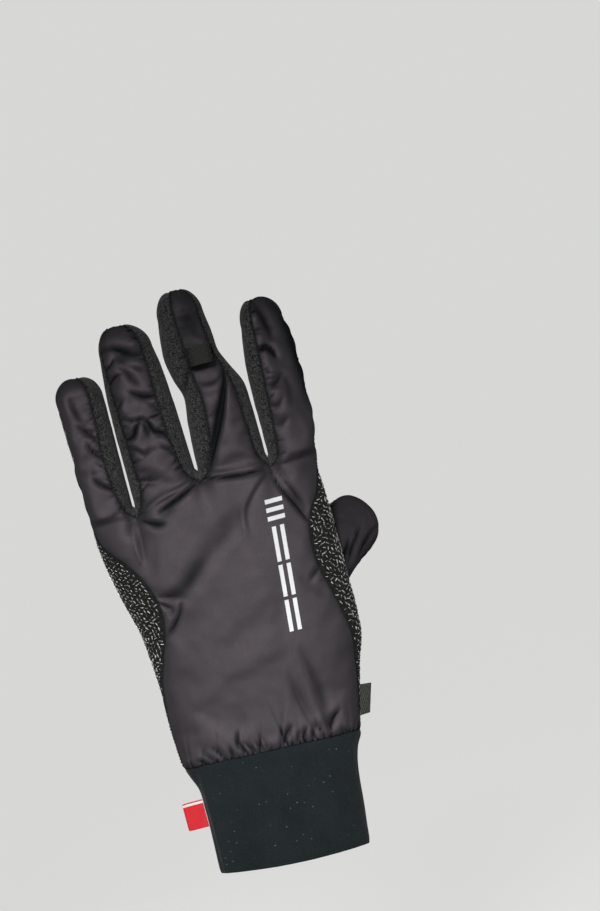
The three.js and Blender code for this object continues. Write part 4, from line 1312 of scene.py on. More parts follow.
@dataclass
class HandShell:
    """The sewn hand: nylon back, grip palm and the fleece strips between the fingers."""

    back_wall: float = 2.8
    palm_wall: float = 2.0
    fleece_wall: float = 1.7
    half_gap: float = 0.06
    hand_power: float = 2.5
    finger_power: float = 2.5
    wrist_left: float = -176.5
    wrist_right: float = -180.0
    knuckle_left: float = -60.0
    knuckle_right: float = -54.0
    crotches: tuple[Crotch, ...] = (
        Crotch(-48.4, -60.5, -37), Crotch(-16.3, -51.5, -16), Crotch(16.1, -53.5, 5))
    palm_rise: float = 4.0
    valley_depth: float = 3.4
    valley_half_width: float = 4.5
    valley_reach: float = 9.0
    saddle: float = 2.0
    outer_seam: float = math.radians(186)
    tip_seam_share: float = 0.24
    tip_seam_splay: float = 0.5
    tip_roundness: float = 1.15
    root_blend: float = 0.07
    hand_rows: int = 150
    finger_rows: int = 104
    tip_rows: int = 16
    fleece_strips: int = 20
    density: float = DENSITY
    hand: Table = field(default_factory=hand_table)
    fingers: tuple[Finger, ...] = field(default_factory=finger_tables)

    def __post_init__(self) -> None:
        """Lays out the whole surface once."""
        self.skin = Skin()
        self.strips = [steps(finger.strips, self.density) for finger in self.fingers]
        self.sides = steps(self.fleece_strips, self.density)
        self.fleece_names = [f"fourchette_{a.name}_{b.name}" for a, b in zip(self.fingers, self.fingers[1:])]
        self._lay_hand()
        for order, finger in enumerate(self.fingers):
            self._lay_finger(finger, order)

    def section_of_hand(self, left_z: float, right_z: float) -> Section:
        """The hand's section between the heights of its two edges."""
        return Section.between(self.hand, left_z, right_z, (left_z + right_z) / 2, self.hand_power)

    def _hand_ring(self, level: float) -> np.ndarray:
        """Lays out the points round the hand at one level.

        Args:
            level: 0 at the wrist and 1 at the knuckles.

        Returns:
            The points, from the left seam over the back and on round the palm.
        """
        left_z = mix(self.wrist_left, self.knuckle_left, level)
        right_z = mix(self.wrist_right, self.knuckle_right, level)
        section = self.section_of_hand(left_z, right_z)
        anchors = []
        for crotch in self.crotches:
            x = mix(crotch.wrist_x, crotch.x, float(smooth(0, 1, level)))
            wrist_z = mix(self.wrist_left, self.wrist_right, section.share(x))
            anchors.append((section.angle_at(x), mix(wrist_z, crotch.z, level)))
        rise = self.palm_rise * level
        left_seam = section.angle_at(self.hand.at("seam_left", left_z))
        right_seam = section.angle_at(self.hand.at("seam_right", right_z))
        palm_anchors = [(-angle, z + rise) for angle, z in reversed(anchors)]
        loop = [(left_seam, left_z), *anchors, (right_seam, right_z), *palm_anchors,
                (left_seam - 2 * math.pi, left_z)]
        angles, heights = [], []
        for (start, end), count in zip(zip(loop[:-1], loop[1:]), [*self.strips, *reversed(self.strips)]):
            shares = np.arange(count) / count
            angles.append(mix(start[0], end[0], shares))
            heights.append(mix(start[1], end[1], shares))
        points = section.points(np.concatenate(angles))
        points[:, 2] = np.concatenate(heights)
        return self._with_valleys(points, section)

    def _with_valleys(self, points: np.ndarray, section: Section) -> np.ndarray:
        """Draws points towards the middle of the hand near where two fingers part.

        Args:
            points: points of the hand.
            section: their section.

        Returns:
            The same points, moved.
        """
        pull = np.zeros(len(points))
        for crotch in self.crotches:
            across = np.exp(-(((points[:, 0] - crotch.x) / self.valley_half_width) ** 2))
            below = np.exp(-np.maximum(crotch.z - points[:, 2], 0) / self.valley_reach)
            pull = np.maximum(pull, across * below)
        points[:, 1] += np.sign(section.mid_y - points[:, 1]) * self.valley_depth * pull
        return points

    def _lay_hand(self) -> None:
        """Lays the hand's two grids, and the saddles between the fingers."""
        count = steps(self.hand_rows, self.density)
        wrist_z = (self.wrist_left + self.wrist_right) / 2
        knuckle_z = (self.knuckle_left + self.knuckle_right) / 2
        rings = []
        heights = []
        for i in range(count):
            level = i / (count - 1)
            numbers = self.skin.add(self._hand_ring(level))
            rings.append(np.append(numbers, numbers[0]))
            heights.append(mix(wrist_z, knuckle_z, level))
        across = sum(self.strips)
        self.skin.lay("back_shell", [ring[:across + 1] for ring in rings], heights)
        self.skin.lay("palm", [ring[across:] for ring in rings], heights)
        self.skin.seams["wrist_back"] = rings[0][:across + 1]
        self.skin.seams["wrist_palm"] = rings[0][across:]
        self.skin.seams["hand_left"] = np.array([ring[0] for ring in rings])
        self.skin.seams["hand_right"] = np.array([ring[across] for ring in rings])
        starts = np.cumsum([0, *self.strips, *reversed(self.strips)])
        arcs = [rings[-1][a:b + 1] for a, b in zip(starts[:-1], starts[1:])]
        self.back_arcs = arcs[:len(self.fingers)]
        self.palm_arcs = arcs[len(self.fingers):][::-1]
        self.bridges = [self._bridge(back[-1], palm[0])
                        for back, palm in zip(self.back_arcs[:-1], self.palm_arcs[:-1])]

    def _bridge(self, back: int, palm: int) -> np.ndarray:
        """Adds the saddle between two fingers.

        Args:
            back: number of the point where it starts, on the back of the hand.
            palm: number of the point where it ends, on the palm.

        Returns:
            The numbers of its points.
        """
        shares = np.arange(1, self.sides)[:, None] / self.sides
        points = mix(self.skin.points[back], self.skin.points[palm], shares)
        points[:, 2] += self.saddle * np.sin(np.pi * shares[:, 0])
        return np.concatenate([[back], self.skin.add(points), [palm]])

    def _finger_seams(self, finger: Finger, section: Section, left_z: float, right_z: float) -> list[float]:
        """Finds the angles of a finger's seams.

        Args:
            finger: the finger.
            section: its section.
            left_z: height of its left edge.
            right_z: height of its right edge.

        Returns:
            The angles: back left, back right, palm right and palm left.
        """
        has_left, has_right = finger.table.has("seam_left"), finger.table.has("seam_right")
        left, right = self.outer_seam, math.pi - self.outer_seam
        if has_left:
            left = section.angle_at(finger.table.at("seam_left", left_z))
        if has_right:
            right = section.angle_at(finger.table.at("seam_right", right_z))
        return [left, right, -right if has_right else right, -left if has_left else left - 2 * math.pi]

    def _finger_ring(self, order: int, section: Section, angles: list[float], left_z: float, right_z: float,
                     rise: float) -> dict[str, np.ndarray]:
        """Lays out one ring of a finger.

        Args:
            order: the finger's number, 0 for the pinky.
            section: its section.
            angles: the angles of its four seams.
            left_z: height of its left edge.
            right_z: height of its right edge.
            rise: how much higher the ring stands on the palm's side.

        Returns:
            The points of its four arcs, with both ends each.
        """
        back_left, back_right, palm_right, palm_left = angles
        spans = {"back": (back_left, back_right, self.strips[order]),
                 "right": (back_right, palm_right, self.sides),
                 "palm": (palm_right, palm_left, self.strips[order]),
                 "left": (palm_left, back_left - 2 * math.pi, self.sides)}
        arcs = {}
        for name, (start, end, count) in spans.items():
            points = section.points(np.linspace(start, end, count + 1))
            palmward = np.clip((points[:, 1] - section.mid_y) / section.half_depth / 2 + 0.5, 0, 1)
            points[:, 2] = mix(left_z, right_z, section.share(points[:, 0])) + rise * palmward
            arcs[name] = points
        return arcs

    def _join(self, order: int, arcs: dict[str, np.ndarray]) -> dict[str, np.ndarray]:
        """Adds one ring's points to the skin, each shared end once.

        Args:
            order: the finger's number, 0 for the pinky.
            arcs: the points of its four arcs.

        Returns:
            The point numbers of each arc.
        """
        back = self.skin.add(arcs["back"])
        if order < len(self.crotches):
            right = np.concatenate([[back[-1]], self.skin.add(arcs["right"][1:])])
        else:
            right = back[-1:]
        if order > 0:
            palm = np.concatenate([[right[-1]], self.skin.add(arcs["palm"][1:])])
            left = np.concatenate([[palm[-1]], self.skin.add(arcs["left"][1:-1]), [back[0]]])
        else:
            palm = np.concatenate([[right[-1]], self.skin.add(arcs["palm"][1:-1]), [back[0]]])
            left = back[:1]
        return {"back": back, "right": right, "palm": palm, "left": left}

    def _root_rows(self, order: int) -> dict[str, np.ndarray]:
        """Finds the hand's own rows that a finger grows from.

        Args:
            order: the finger's number, 0 for the pinky.

        Returns:
            The point numbers of each arc.
        """
        back, palm = self.back_arcs[order], self.palm_arcs[order]
        right = self.bridges[order] if order < len(self.crotches) else back[-1:]
        left = self.bridges[order - 1][::-1] if order > 0 else back[:1]
        return {"back": back, "right": right, "palm": palm, "left": left}

    def _lay_finger(self, finger: Finger, order: int) -> None:
        """Lays the grids of one finger, from the knuckles to the seam that closes its tip.

        Args:
            finger: the finger.
            order: its number, 0 for the pinky.
        """
        start_left = self.knuckle_left if order == 0 else self.crotches[order - 1].z
        start_right = self.crotches[order].z if order < len(self.crotches) else self.knuckle_right
        tip_x, tip_y, tip_z = finger.tip
        base_z = tip_z - finger.tip_height
        rows = [self._root_rows(order)]
        heights = [(start_left + start_right) / 2]
        offsets = {}
        for i, share in enumerate(np.linspace(0, 1, steps(self.finger_rows, self.density))):
            left_z = mix(start_left, base_z, share)
            right_z = mix(start_right, base_z, share)
            section = self._finger_section(finger, left_z, right_z)
            angles = self._finger_seams(finger, section, left_z, right_z)
            arcs = self._finger_ring(order, section, angles, left_z, right_z, self.palm_rise * (1 - share))
            if i == 0:
                for name, arc in arcs.items():
                    root = self.skin.points[rows[0][name]]
                    offsets[name] = root - arc if len(root) == len(arc) else np.zeros_like(arc)
                continue
            fade = 1 - float(smooth(0, self.root_blend, share))
            for name in arcs:
                arcs[name] = arcs[name] + offsets[name] * fade
            rows.append(self._join(order, arcs))
            heights.append((left_z + right_z) / 2)
        base, seams = section, angles
        for angle in np.linspace(0, math.pi / 2, steps(self.tip_rows, self.density) + 1)[1:-1]:
            closing = math.cos(angle) ** self.tip_roundness
            z = base_z + finger.tip_height * math.sin(angle)
            section = Section(
                mix(base.mid_x, tip_x, 1 - closing), base.half_width * mix(self.tip_seam_share, 1, closing),
                mix(base.mid_y, tip_y, 1 - closing), base.half_depth * math.cos(angle), self.finger_power,
                base.roll * closing)
            rows.append(self._join(order, self._finger_ring(order, section, seams, z, z, 0.0)))
            heights.append(z)
        rows.append(self._tip_row(order, finger, base.half_width * self.tip_seam_share))
        heights.append(tip_z)
        self._lay_rows(order, rows, heights)

    def _finger_section(self, finger: Finger, left_z: float, right_z: float) -> Section:
        """A finger's section between the heights of its two edges."""
        return Section.between(finger.table, left_z, right_z, (left_z + right_z) / 2, self.finger_power)

    def _tip_row(self, order: int, finger: Finger, half_length: float) -> dict[str, np.ndarray]:
        """Adds the short seam that closes a finger, shared by all its arcs.

        Args:
            order: the finger's number, 0 for the pinky.
            finger: the finger.
            half_length: half of the seam's length.

        Returns:
            The point numbers of each arc.
        """
        sides = np.linspace(-1, 1, self.strips[order] + 1)
        x, y, z = finger.tip
        row = self.skin.add(np.array([[x + side * half_length, y, z] for side in sides]))
        for number, side in zip(row, sides):
            self.skin.fixed[int(number)] = np.array([side * self.tip_seam_splay, 0, 1])
        right = np.full(self.sides + 1, row[-1]) if order < len(self.crotches) else row[-1:]
        left = np.full(self.sides + 1, row[0]) if order > 0 else row[:1]
        return {"back": row, "right": right, "palm": row[::-1], "left": left}

    def _lay_rows(self, order: int, rows: list[dict[str, np.ndarray]], heights: list[float]) -> None:
        """Hands one finger's rows to the panels and names its seams.

        Args:
            order: the finger's number, 0 for the pinky.
            rows: the point numbers of each of its rings, arc by arc.
            heights: each row's height along the cloth.
        """
        name = self.fingers[order].name
        self.skin.lay("back_shell", [row["back"] for row in rows], heights)
        self.skin.lay("palm", [row["palm"] for row in rows], heights)
        if order < len(self.crotches):
            self.skin.lay(self.fleece_names[order], [row["right"] for row in rows], heights)
            self.skin.seams[f"{name}_palm_right"] = np.array([row["palm"][0] for row in rows])
        if order > 0:
            self.skin.lay(self.fleece_names[order - 1], [row["left"] for row in rows], heights)
            self.skin.seams[f"{name}_palm_left"] = np.array([row["palm"][-1] for row in rows])
        self.skin.seams[f"{name}_left"] = np.array([row["back"][0] for row in rows])
        self.skin.seams[f"{name}_right"] = np.array([row["back"][-1] for row in rows])
        self.skin.seams[f"{name}_tip"] = rows[-1]["back"]

    def inside(self, points: np.ndarray, growth: float = 0.0) -> np.ndarray:
        """Tells whether points lie inside the hand's outer surface.

        Args:
            points: the points.
            growth: how many millimetres the surface is moved out first.

        Returns:
            True for each point inside.
        """
        z = points[:, 2]
        left, right = self.hand.read("left", z), self.hand.read("right", z)
        half_width = (right - left) / 2 + growth
        half_depth = self.hand.read("half_depth", z) + growth
        across = np.abs(points[:, 0] - (left + right) / 2) / half_width
        deep = np.abs(points[:, 1] - self.hand.read("mid_y", z)) / half_depth
        return across**self.hand_power + deep**self.hand_power < 1


@dataclass
class BackFolds:
    """Everything that moves the hand's cloth in or out of its smooth shape, and the shade painted into its
    folds and along its seams.
    """

    shell: HandShell
    creases: tuple[Crease, ...] = BACK_CREASES
    facing_from: float = 0.15
    facing_full: float = 0.75
    crease_reach: float = 6.0
    seam_depth: float = 0.95
    edge_seam_depth: float = 0.35
    tip_seam_depth: float = 0.35
    fleece_seam_depth: float = 0.5
    wrist_seam_depth: float = 0.3
    left_seam_depth: float = 0.7
    right_seam_depth: float = 0.8
    fleece_left_puckers: Puckers = Puckers(2.8, 0.3, 1.8, 31)
    fleece_right_puckers: Puckers = Puckers(2.8, 0.3, 1.8, 32)
    wrist_puckers: Puckers = Puckers(1.8, 1.0, 1.7, 35, 0.5)
    left_puckers: Puckers = Puckers(3.4, 0.28, 2.4, 33)
    right_puckers: Puckers = Puckers(3.2, 0.26, 2.4, 34)
    seam_reach: float = 1.3
    # Tucks this deep take the full painted shade
    full_shade_tuck: float = 0.6
    dark_reach: float = 0.75
    seam_shade: float = 0.75
    seam_span: float = 14.0
    far_away: float = 99.0
    gathers_below: float = -150.0
    back_gathers: Gathers = Gathers(0.56, 41)
    palm_gathers: Gathers = Gathers(0.55, 42)
    lumps: tuple[Lumps, ...] = (Lumps(0.2, 15.0, 3.1), Lumps(0.14, 5.5, 8.7))

    def heights(self) -> tuple[np.ndarray, np.ndarray]:
        """Works out the folds.

        Returns:
            How far each of the hand's points stands out of the smooth shape, and how much shade is painted
            on it.
        """
        skin = self.shell.skin
        points, normals = skin.points, skin.normals()
        facing = smooth(self.facing_from, self.facing_full, -normals[:, 1])
        folds = self._cuff_gathers(points, normals)
        tucked = folds.copy()
        # fold gathers the painted shade: bands along the creases and seams, and the tucks' own shade
        fold = np.zeros(len(points))
        for crease in self.creases:
            path = np.array(crease.path)
            reach = self.crease_reach * crease.half_width
            low, high = path.min(axis=0) - reach, path.max(axis=0) + reach
            near = ((points[:, [0, 2]] > low) & (points[:, [0, 2]] < high)).all(axis=1) & (facing > 0)
            moved, dark = crease.heights(points[near])
            folds[near] += moved * facing[near]
            fold[near] = np.maximum(fold[near], dark)
        tuck = np.zeros(len(points))
        for name, depth, puckers in self._seams():
            away, tucks = self._seam_heights(points, name, puckers)
            folds += tucks
            tucked += tucks
            tuck = np.maximum(tuck, depth * np.exp(-away / self.seam_reach))
            # Painted shade along each seam: the seam's own dark line and the shade in its tuck
            fold = np.maximum(fold, self.seam_shade * np.exp(-((away / self.dark_reach) ** 2)))
        soft = sum(layer.heights(points) for layer in self.lumps)
        # Tucks and gathers take painted shade by their depth
        fold = np.clip(np.maximum(fold, -tucked / self.full_shade_tuck), 0, 1)
        return skin.relaxed(folds + soft - tuck), fold

    def _seams(self) -> Iterable[tuple[str, float, Puckers | None]]:
        """Goes through the seams.

        Returns:
            Each seam's name, its depth and its puckers.
        """
        for finger in self.shell.fingers:
            left, right = (self.edge_seam_depth if finger.name == edge else self.seam_depth
                           for edge in ("pinky", "index"))
            yield f"{finger.name}_left", left, finger.left_puckers
            yield f"{finger.name}_right", right, finger.right_puckers
            yield f"{finger.name}_tip", self.tip_seam_depth, None
            if finger.name != "pinky":
                yield f"{finger.name}_palm_left", self.fleece_seam_depth, self.fleece_left_puckers
            if finger.name != "index":
                yield f"{finger.name}_palm_right", self.fleece_seam_depth, self.fleece_right_puckers
        yield "wrist_back", self.wrist_seam_depth, self.wrist_puckers
        yield "hand_left", self.left_seam_depth, self.left_puckers
        yield "hand_right", self.right_seam_depth, self.right_puckers

    def _seam_heights(self, points: np.ndarray, name: str,
                      puckers: Puckers | None) -> tuple[np.ndarray, np.ndarray]:
        """Works out what one seam does to the cloth.

        Args:
            points: the hand's points.
            name: the seam's name.
            puckers: its puckers, if it has any.

        Returns:
            Each point's distance from the seam, and what the puckers add to its height.
        """
        line = points[self.shell.skin.seams[name]]
        low, high = line.min(axis=0) - self.seam_span, line.max(axis=0) + self.seam_span
        near = ((points > low) & (points < high)).all(axis=1)
        away = np.full(len(points), self.far_away)
        tucks = np.zeros(len(points))
        along, gap, length = along_seam(points[near], line)
        away[near] = gap
        if puckers is not None:
            tucks[near] = puckers.heights(along, gap, length)
        drawn = np.zeros(len(points), bool)
        drawn[self.shell.skin.quads("palm" if "palm" in name else "back_shell")] = True
        return away, tucks * drawn

    def _cuff_gathers(self, points: np.ndarray, normals: np.ndarray) -> np.ndarray:
        """Works out the gathers where the cuff draws in the hand.

        Args:
            points: the hand's points.
            normals: the outward direction at each of them.

        Returns:
            How far each point stands out.
        """
        result = np.zeros(len(points))
        low = points[:, 2] < self.gathers_below
        for name, side, gathers in (("wrist_back", normals[:, 1] < 0.1, self.back_gathers),
                                    ("wrist_palm", normals[:, 1] > -0.1, self.palm_gathers)):
            chosen = np.flatnonzero(low & side)
            line = points[self.shell.skin.seams[name]]
            result[chosen] += gathers.heights(*along_seam(points[chosen], line))
        return result


@dataclass
class PaddingSettle:
    """Lets the padded nylon settle between its seams as slack cloth that is blown up a little."""

    density: float = 0.42
    frames: int = 24
    slack: float = 0.025
    pressure: float = 0.05
    stiffness: float = 12.0
    bending: float = 2.0
    cap: float = 0.75
    quality: int = 6
    mass: float = 0.15
    hold_full: float = 0.3
    seam_hold: float = 1.6
    grow: float = 10.0
    hand_share: float = 0.4
    hand_below: float = -72.0
    fingers_above: float = -50.0
    neighbours: int = 14
    neighbour_reach: float = 1.7

    def heights(self, shell: HandShell) -> np.ndarray:
        """Runs the cloth.

        Args:
            shell: the hand whose cloth settles.

        Returns:
            How far each of the hand's points moves out.
        """
        skin = HandShell(density=self.density).skin
        used, local = np.unique(skin.quads("back_shell"), return_inverse=True)
        base, normals = skin.points[used], skin.normals()[used]
        settled = self._settle(base, local.reshape(-1, 4))
        moved = self.cap * np.tanh(((settled - base) * normals).sum(axis=1) / self.cap)
        tree = point_tree(base)
        result = np.zeros(len(shell.skin.points))
        for index in np.unique(shell.skin.quads("back_shell")):
            near = tree.find_n(shell.skin.points[index], self.neighbours)
            weights = np.exp(-((np.array([gap for _, _, gap in near]) / self.neighbour_reach) ** 2))
            result[index] = weights @ moved[[order for _, order, _ in near]] / max(weights.sum(), TINY)
        finger = smooth(self.hand_below, self.fingers_above, shell.skin.points[:, 2])
        return result * mix(self.hand_share, 1.0, finger)

    def _settle(self, base: np.ndarray, quads: np.ndarray) -> np.ndarray:
        """Runs the cloth on one open panel that is held along its seams.

        Args:
            base: the panel's points.
            quads: its faces.

        Returns:
            Where the points end up.
        """
        mesh = bpy.data.meshes.new("settle")
        faces = [tuple(dict.fromkeys(quad)) for quad in quads.tolist()]
        mesh.from_pydata((base * MM * self.grow).tolist(), [], faces)
        cloth = new_object("settle", mesh)
        held = cloth.vertex_groups.new(name="seams")
        tree = point_tree(base[np.unique(rim_edges(quads))])
        for index, point in enumerate(base):
            hold = 1 - float(smooth(self.hold_full, self.seam_hold, tree.find(point)[2]))
            if hold > 0:
                held.add([index], hold, "REPLACE")
        modifier = cloth.modifiers.new("settle", "CLOTH")
        settings = modifier.settings
        settings.quality = self.quality
        settings.mass = self.mass
        settings.tension_stiffness = self.stiffness
        settings.compression_stiffness = self.stiffness
        settings.shear_stiffness = self.stiffness / 2
        settings.bending_stiffness = self.bending
        settings.vertex_group_mass = held.name
        settings.shrink_min = -self.slack
        settings.use_pressure = True
        settings.uniform_pressure_force = self.pressure
        settings.effector_weights.gravity = 0
        modifier.collision_settings.use_collision = False
        scene = bpy.context.scene
        for frame_number in range(1, self.frames + 1):
            scene.frame_set(frame_number)
        settled = cloth.evaluated_get(bpy.context.evaluated_depsgraph_get()).to_mesh()
        points = np.empty(len(base) * 3)
        settled.vertices.foreach_get("co", points)
        bpy.data.objects.remove(cloth)
        scene.frame_set(1)
        return points.reshape(-1, 3) / MM / self.grow


@dataclass
class Thumb:
    """The thumb, which stands out of the palm and curls towards the fingers."""

    shell: HandShell
    table: Table = field(default_factory=lambda: Table("at x y z half_width half_depth", [
        (0, 14, 20, -112, 22, 15),
        (1, 27, 32, -101.5, 16, 13.5),
        (2, 37.8, 42.6, -95, 13.8, 12.8),
        (3, 45.3, 53.4, -89.2, 14.0, 12.2),
        (4, 44.8, 64.4, -88.4, 12.6, 10.8),
        (5, 38.5, 72, -87.8, 10.6, 9.4),
    ]))
    curl_centre: tuple[float, float, float] = (18, 56, -100)
    length: float = 62.0
    tip_height: float = 10.0
    tip_seam_share: float = 0.24
    tip_seam_splay: float = 0.5
    wall: float = 2.2
    # Folds deeper than this take painted shade
    painted_shade_from_depth: float = 0.6
    strips: int = 48
    rings: int = 84
    tip_rows: int = 14
    path_points: int = 400
    seat: float = 0.15
    opening_middle: tuple[float, float, float] = (22, 28, -106)
    opening_reach: float = 45.0
    opening_y: float = 16.0
    opening_end: float = 2.2
    opening_stops: int = 45
    stop_reach: float = 1.6
    lumps: tuple[Lumps, ...] = (Lumps(0.4, 11.0, 5.3), Lumps(0.22, 4.5, 1.9))
    seams: tuple[tuple[str, float, Puckers], ...] = (
        ("first", 0.8, Puckers(3.0, 0.45, 3.0, 51)),
        ("second", 0.8, Puckers(3.0, 0.45, 3.0, 52)),
        ("root", 0.9, Puckers(3.6, 0.5, 3.5, 53)),
    )
    seam_reach: float = 1.4
    creases: tuple[Crease, ...] = (
        Crease(((44, -93), (40, -100), (36, -106)), 1.2, 1.2, 0.4),
        Crease(((51, -89), (46, -96), (40, -105.5)), 1.2, 1.2, 0.4),
        Crease(((56, -94), (50, -99), (45, -105)), 0.9, 1.2, 0.4),
    )

    def _centre_at(self, at: float) -> np.ndarray:
        """The thumb's middle at one place of its path."""
        return np.array([self.table.at(name, at) for name in ("x", "y", "z")])

    def _axes_at(self, at: float) -> Axes:
        """Finds how the thumb lies at one place of its path.

        Args:
            at: the place.

        Returns:
            Its middle, and the ways along, outward and across there.
        """
        last = self.table.key[-1]
        centre = self._centre_at(at)
        along = unit(self._centre_at(min(at + 0.05, last)) - self._centre_at(max(at - 0.05, 0)))
        outward = centre - np.array(self.curl_centre)
        outward = unit(outward - along * (outward @ along))
        return centre, along, outward, np.cross(along, outward)

    def _ring(self, axes: Axes, half_width: float, half_depth: float, strips: int) -> np.ndarray:
        """Lays out the points round the thumb.

        Args:
            axes: how the thumb lies there.
            half_width: half of its width.
            half_depth: half of its depth.
            strips: faces on each half of the ring.

        Returns:
            The points.
        """
        centre, _, outward, across = axes
        angles = np.pi * (np.arange(2 * strips) / strips - 0.5)[:, None]
        return centre + half_depth * np.cos(angles) * outward + half_width * np.sin(angles) * across

    def build_skin(self) -> Skin:
        """Lays out the thumb's surface, each column starting where its path leaves the hand.

        Returns:
            The surface.
        """
        strips = steps(self.strips)
        last = float(self.table.key[-1])
        places = np.linspace(0, last, self.path_points)
        paths = self._paths(places, strips)
        starts = [self._leaves_hand(paths[:, column], places) for column in range(2 * strips)]
        skin = Skin()
        rows = []
        heights = []
        for share in np.linspace(0, 1, steps(self.rings)):
            row = [point_at(mix(start, last, share), places, paths[:, column])
                   for column, start in enumerate(starts)]
            rows.append(skin.add(np.array(row)))
            heights.append(share * self.length)
        rows.extend(self._tip(skin, strips))
        tip_shares = np.linspace(0, 1, len(rows) - len(heights) + 1)[1:]
        heights.extend(self.length + self.tip_height * tip_shares)
        rings = [np.append(row, row[0]) if len(row) == 2 * strips else row for row in rows]
        skin.lay("thumb_back", [ring[:strips + 1] for ring in rings], heights)
        skin.lay("thumb_palm", [ring[strips:] for ring in rings], heights)
        skin.seams["first"] = np.array([ring[0] for ring in rings])
        skin.seams["second"] = np.array([ring[strips] for ring in rings])
        skin.seams["root"] = rings[0]
        return skin

    def _paths(self, places: np.ndarray, strips: int) -> np.ndarray:
        """Lays the thumb's columns as smooth curves through its rings at the table's rows.

        A ring at every place would cross the rings beside it, on the inner side of the curl.

        Args:
            places: the places along the thumb to read.
            strips: how many strips each half of the thumb has.

        Returns:
            The points of each column at each place.
        """
        rings = np.stack([self._ring(self._axes_at(at), self.table.at("half_width", at),
                                     self.table.at("half_depth", at), strips) for at in self.table.key])
        flat = rings.reshape(len(rings), -1)
        names = [f"c{number}" for number in range(flat.shape[1])]
        curves = Table(" ".join(["at", *names]), np.column_stack([self.table.key, flat]))
        return np.stack([curves.read(name, places) for name in names], axis=1).reshape(len(places), -1, 3)

    def _leaves_hand(self, path: np.ndarray, places: np.ndarray) -> float:
        """Finds where one column of the thumb comes out of the hand.

        Args:
            path: the column's points.
            places: their places along the thumb.

        Returns:
            The first place outside the hand.
        """
        inside = self.shell.inside(path, self.seat)
        if not inside.any():
            return float(places[0])
        return float(places[min(np.flatnonzero(inside)[-1] + 1, len(places) - 1)])

    def _tip(self, skin: Skin, strips: int) -> list[np.ndarray]:
        """Adds the rings that close the thumb's tip, and its seam.

        Args:
            skin: the thumb's surface.
            strips: faces on each half of a ring.

        Returns:
            The point numbers of each ring, and last those of the seam, out and back.
        """
        last = float(self.table.key[-1])
        centre, along, outward, across = self._axes_at(last)
        base_width = self.table.at("half_width", last)
        base_depth = self.table.at("half_depth", last)
        rows = []
        for angle in np.linspace(0, math.pi / 2, steps(self.tip_rows) + 1)[1:-1]:
            axes = (centre + along * self.tip_height * math.sin(angle), along, outward, across)
            half_width = base_width * mix(self.tip_seam_share, 1, math.cos(angle))
            rows.append(skin.add(self._ring(axes, half_width, base_depth * math.cos(angle), strips)))
        sides = np.linspace(-1, 1, strips + 1)
        end = centre + along * self.tip_height
        seam = skin.add(end + sides[:, None] * across * base_width * self.tip_seam_share)
        for number, side in zip(seam, sides):
            skin.fixed[int(number)] = along + across * side * self.tip_seam_splay
        rows.append(np.concatenate([seam, seam[::-1][1:]]))
        return rows

    def heights(self, skin: Skin) -> np.ndarray:
        """Works out how far the thumb's cloth stands out of its smooth shape.

        Args:
            skin: the thumb's surface.

        Returns:
            A height for each of its points.
        """
        points = skin.points
        result = sum(layer.heights(points) for layer in self.lumps)
        for name, depth, puckers in self.seams:
            along, away, length = along_seam(points, points[skin.seams[name]])
            result += puckers.heights(along, away, length) - depth * np.exp(-away / self.seam_reach)
        for crease in self.creases:
            result += crease.heights(points)[0]
        return result

    def opening(self) -> np.ndarray:
        """Finds the palm's faces that the thumb's way in takes away.

        Returns:
            True for each such face.
        """
        quads = self.shell.skin.quads("palm")
        middles = self.shell.skin.points[quads].mean(axis=1)
        taken = np.zeros(len(quads), bool)
        gap = np.linalg.norm(middles - np.array(self.opening_middle), axis=1)
        close = np.flatnonzero((gap < self.opening_reach) & (middles[:, 1] > self.opening_y))
        for at in np.linspace(0, self.opening_end, self.opening_stops):
            centre, along, outward, across = self._axes_at(at)
            half_width = self.table.at("half_width", at) - self.wall
            half_depth = self.table.at("half_depth", at) - self.wall
            offset = middles[close] - centre
            inside = ((offset @ outward) / half_depth) ** 2 + ((offset @ across) / half_width) ** 2 < 1
            taken[close] |= inside & (np.abs(offset @ along) < self.stop_reach)
        return taken


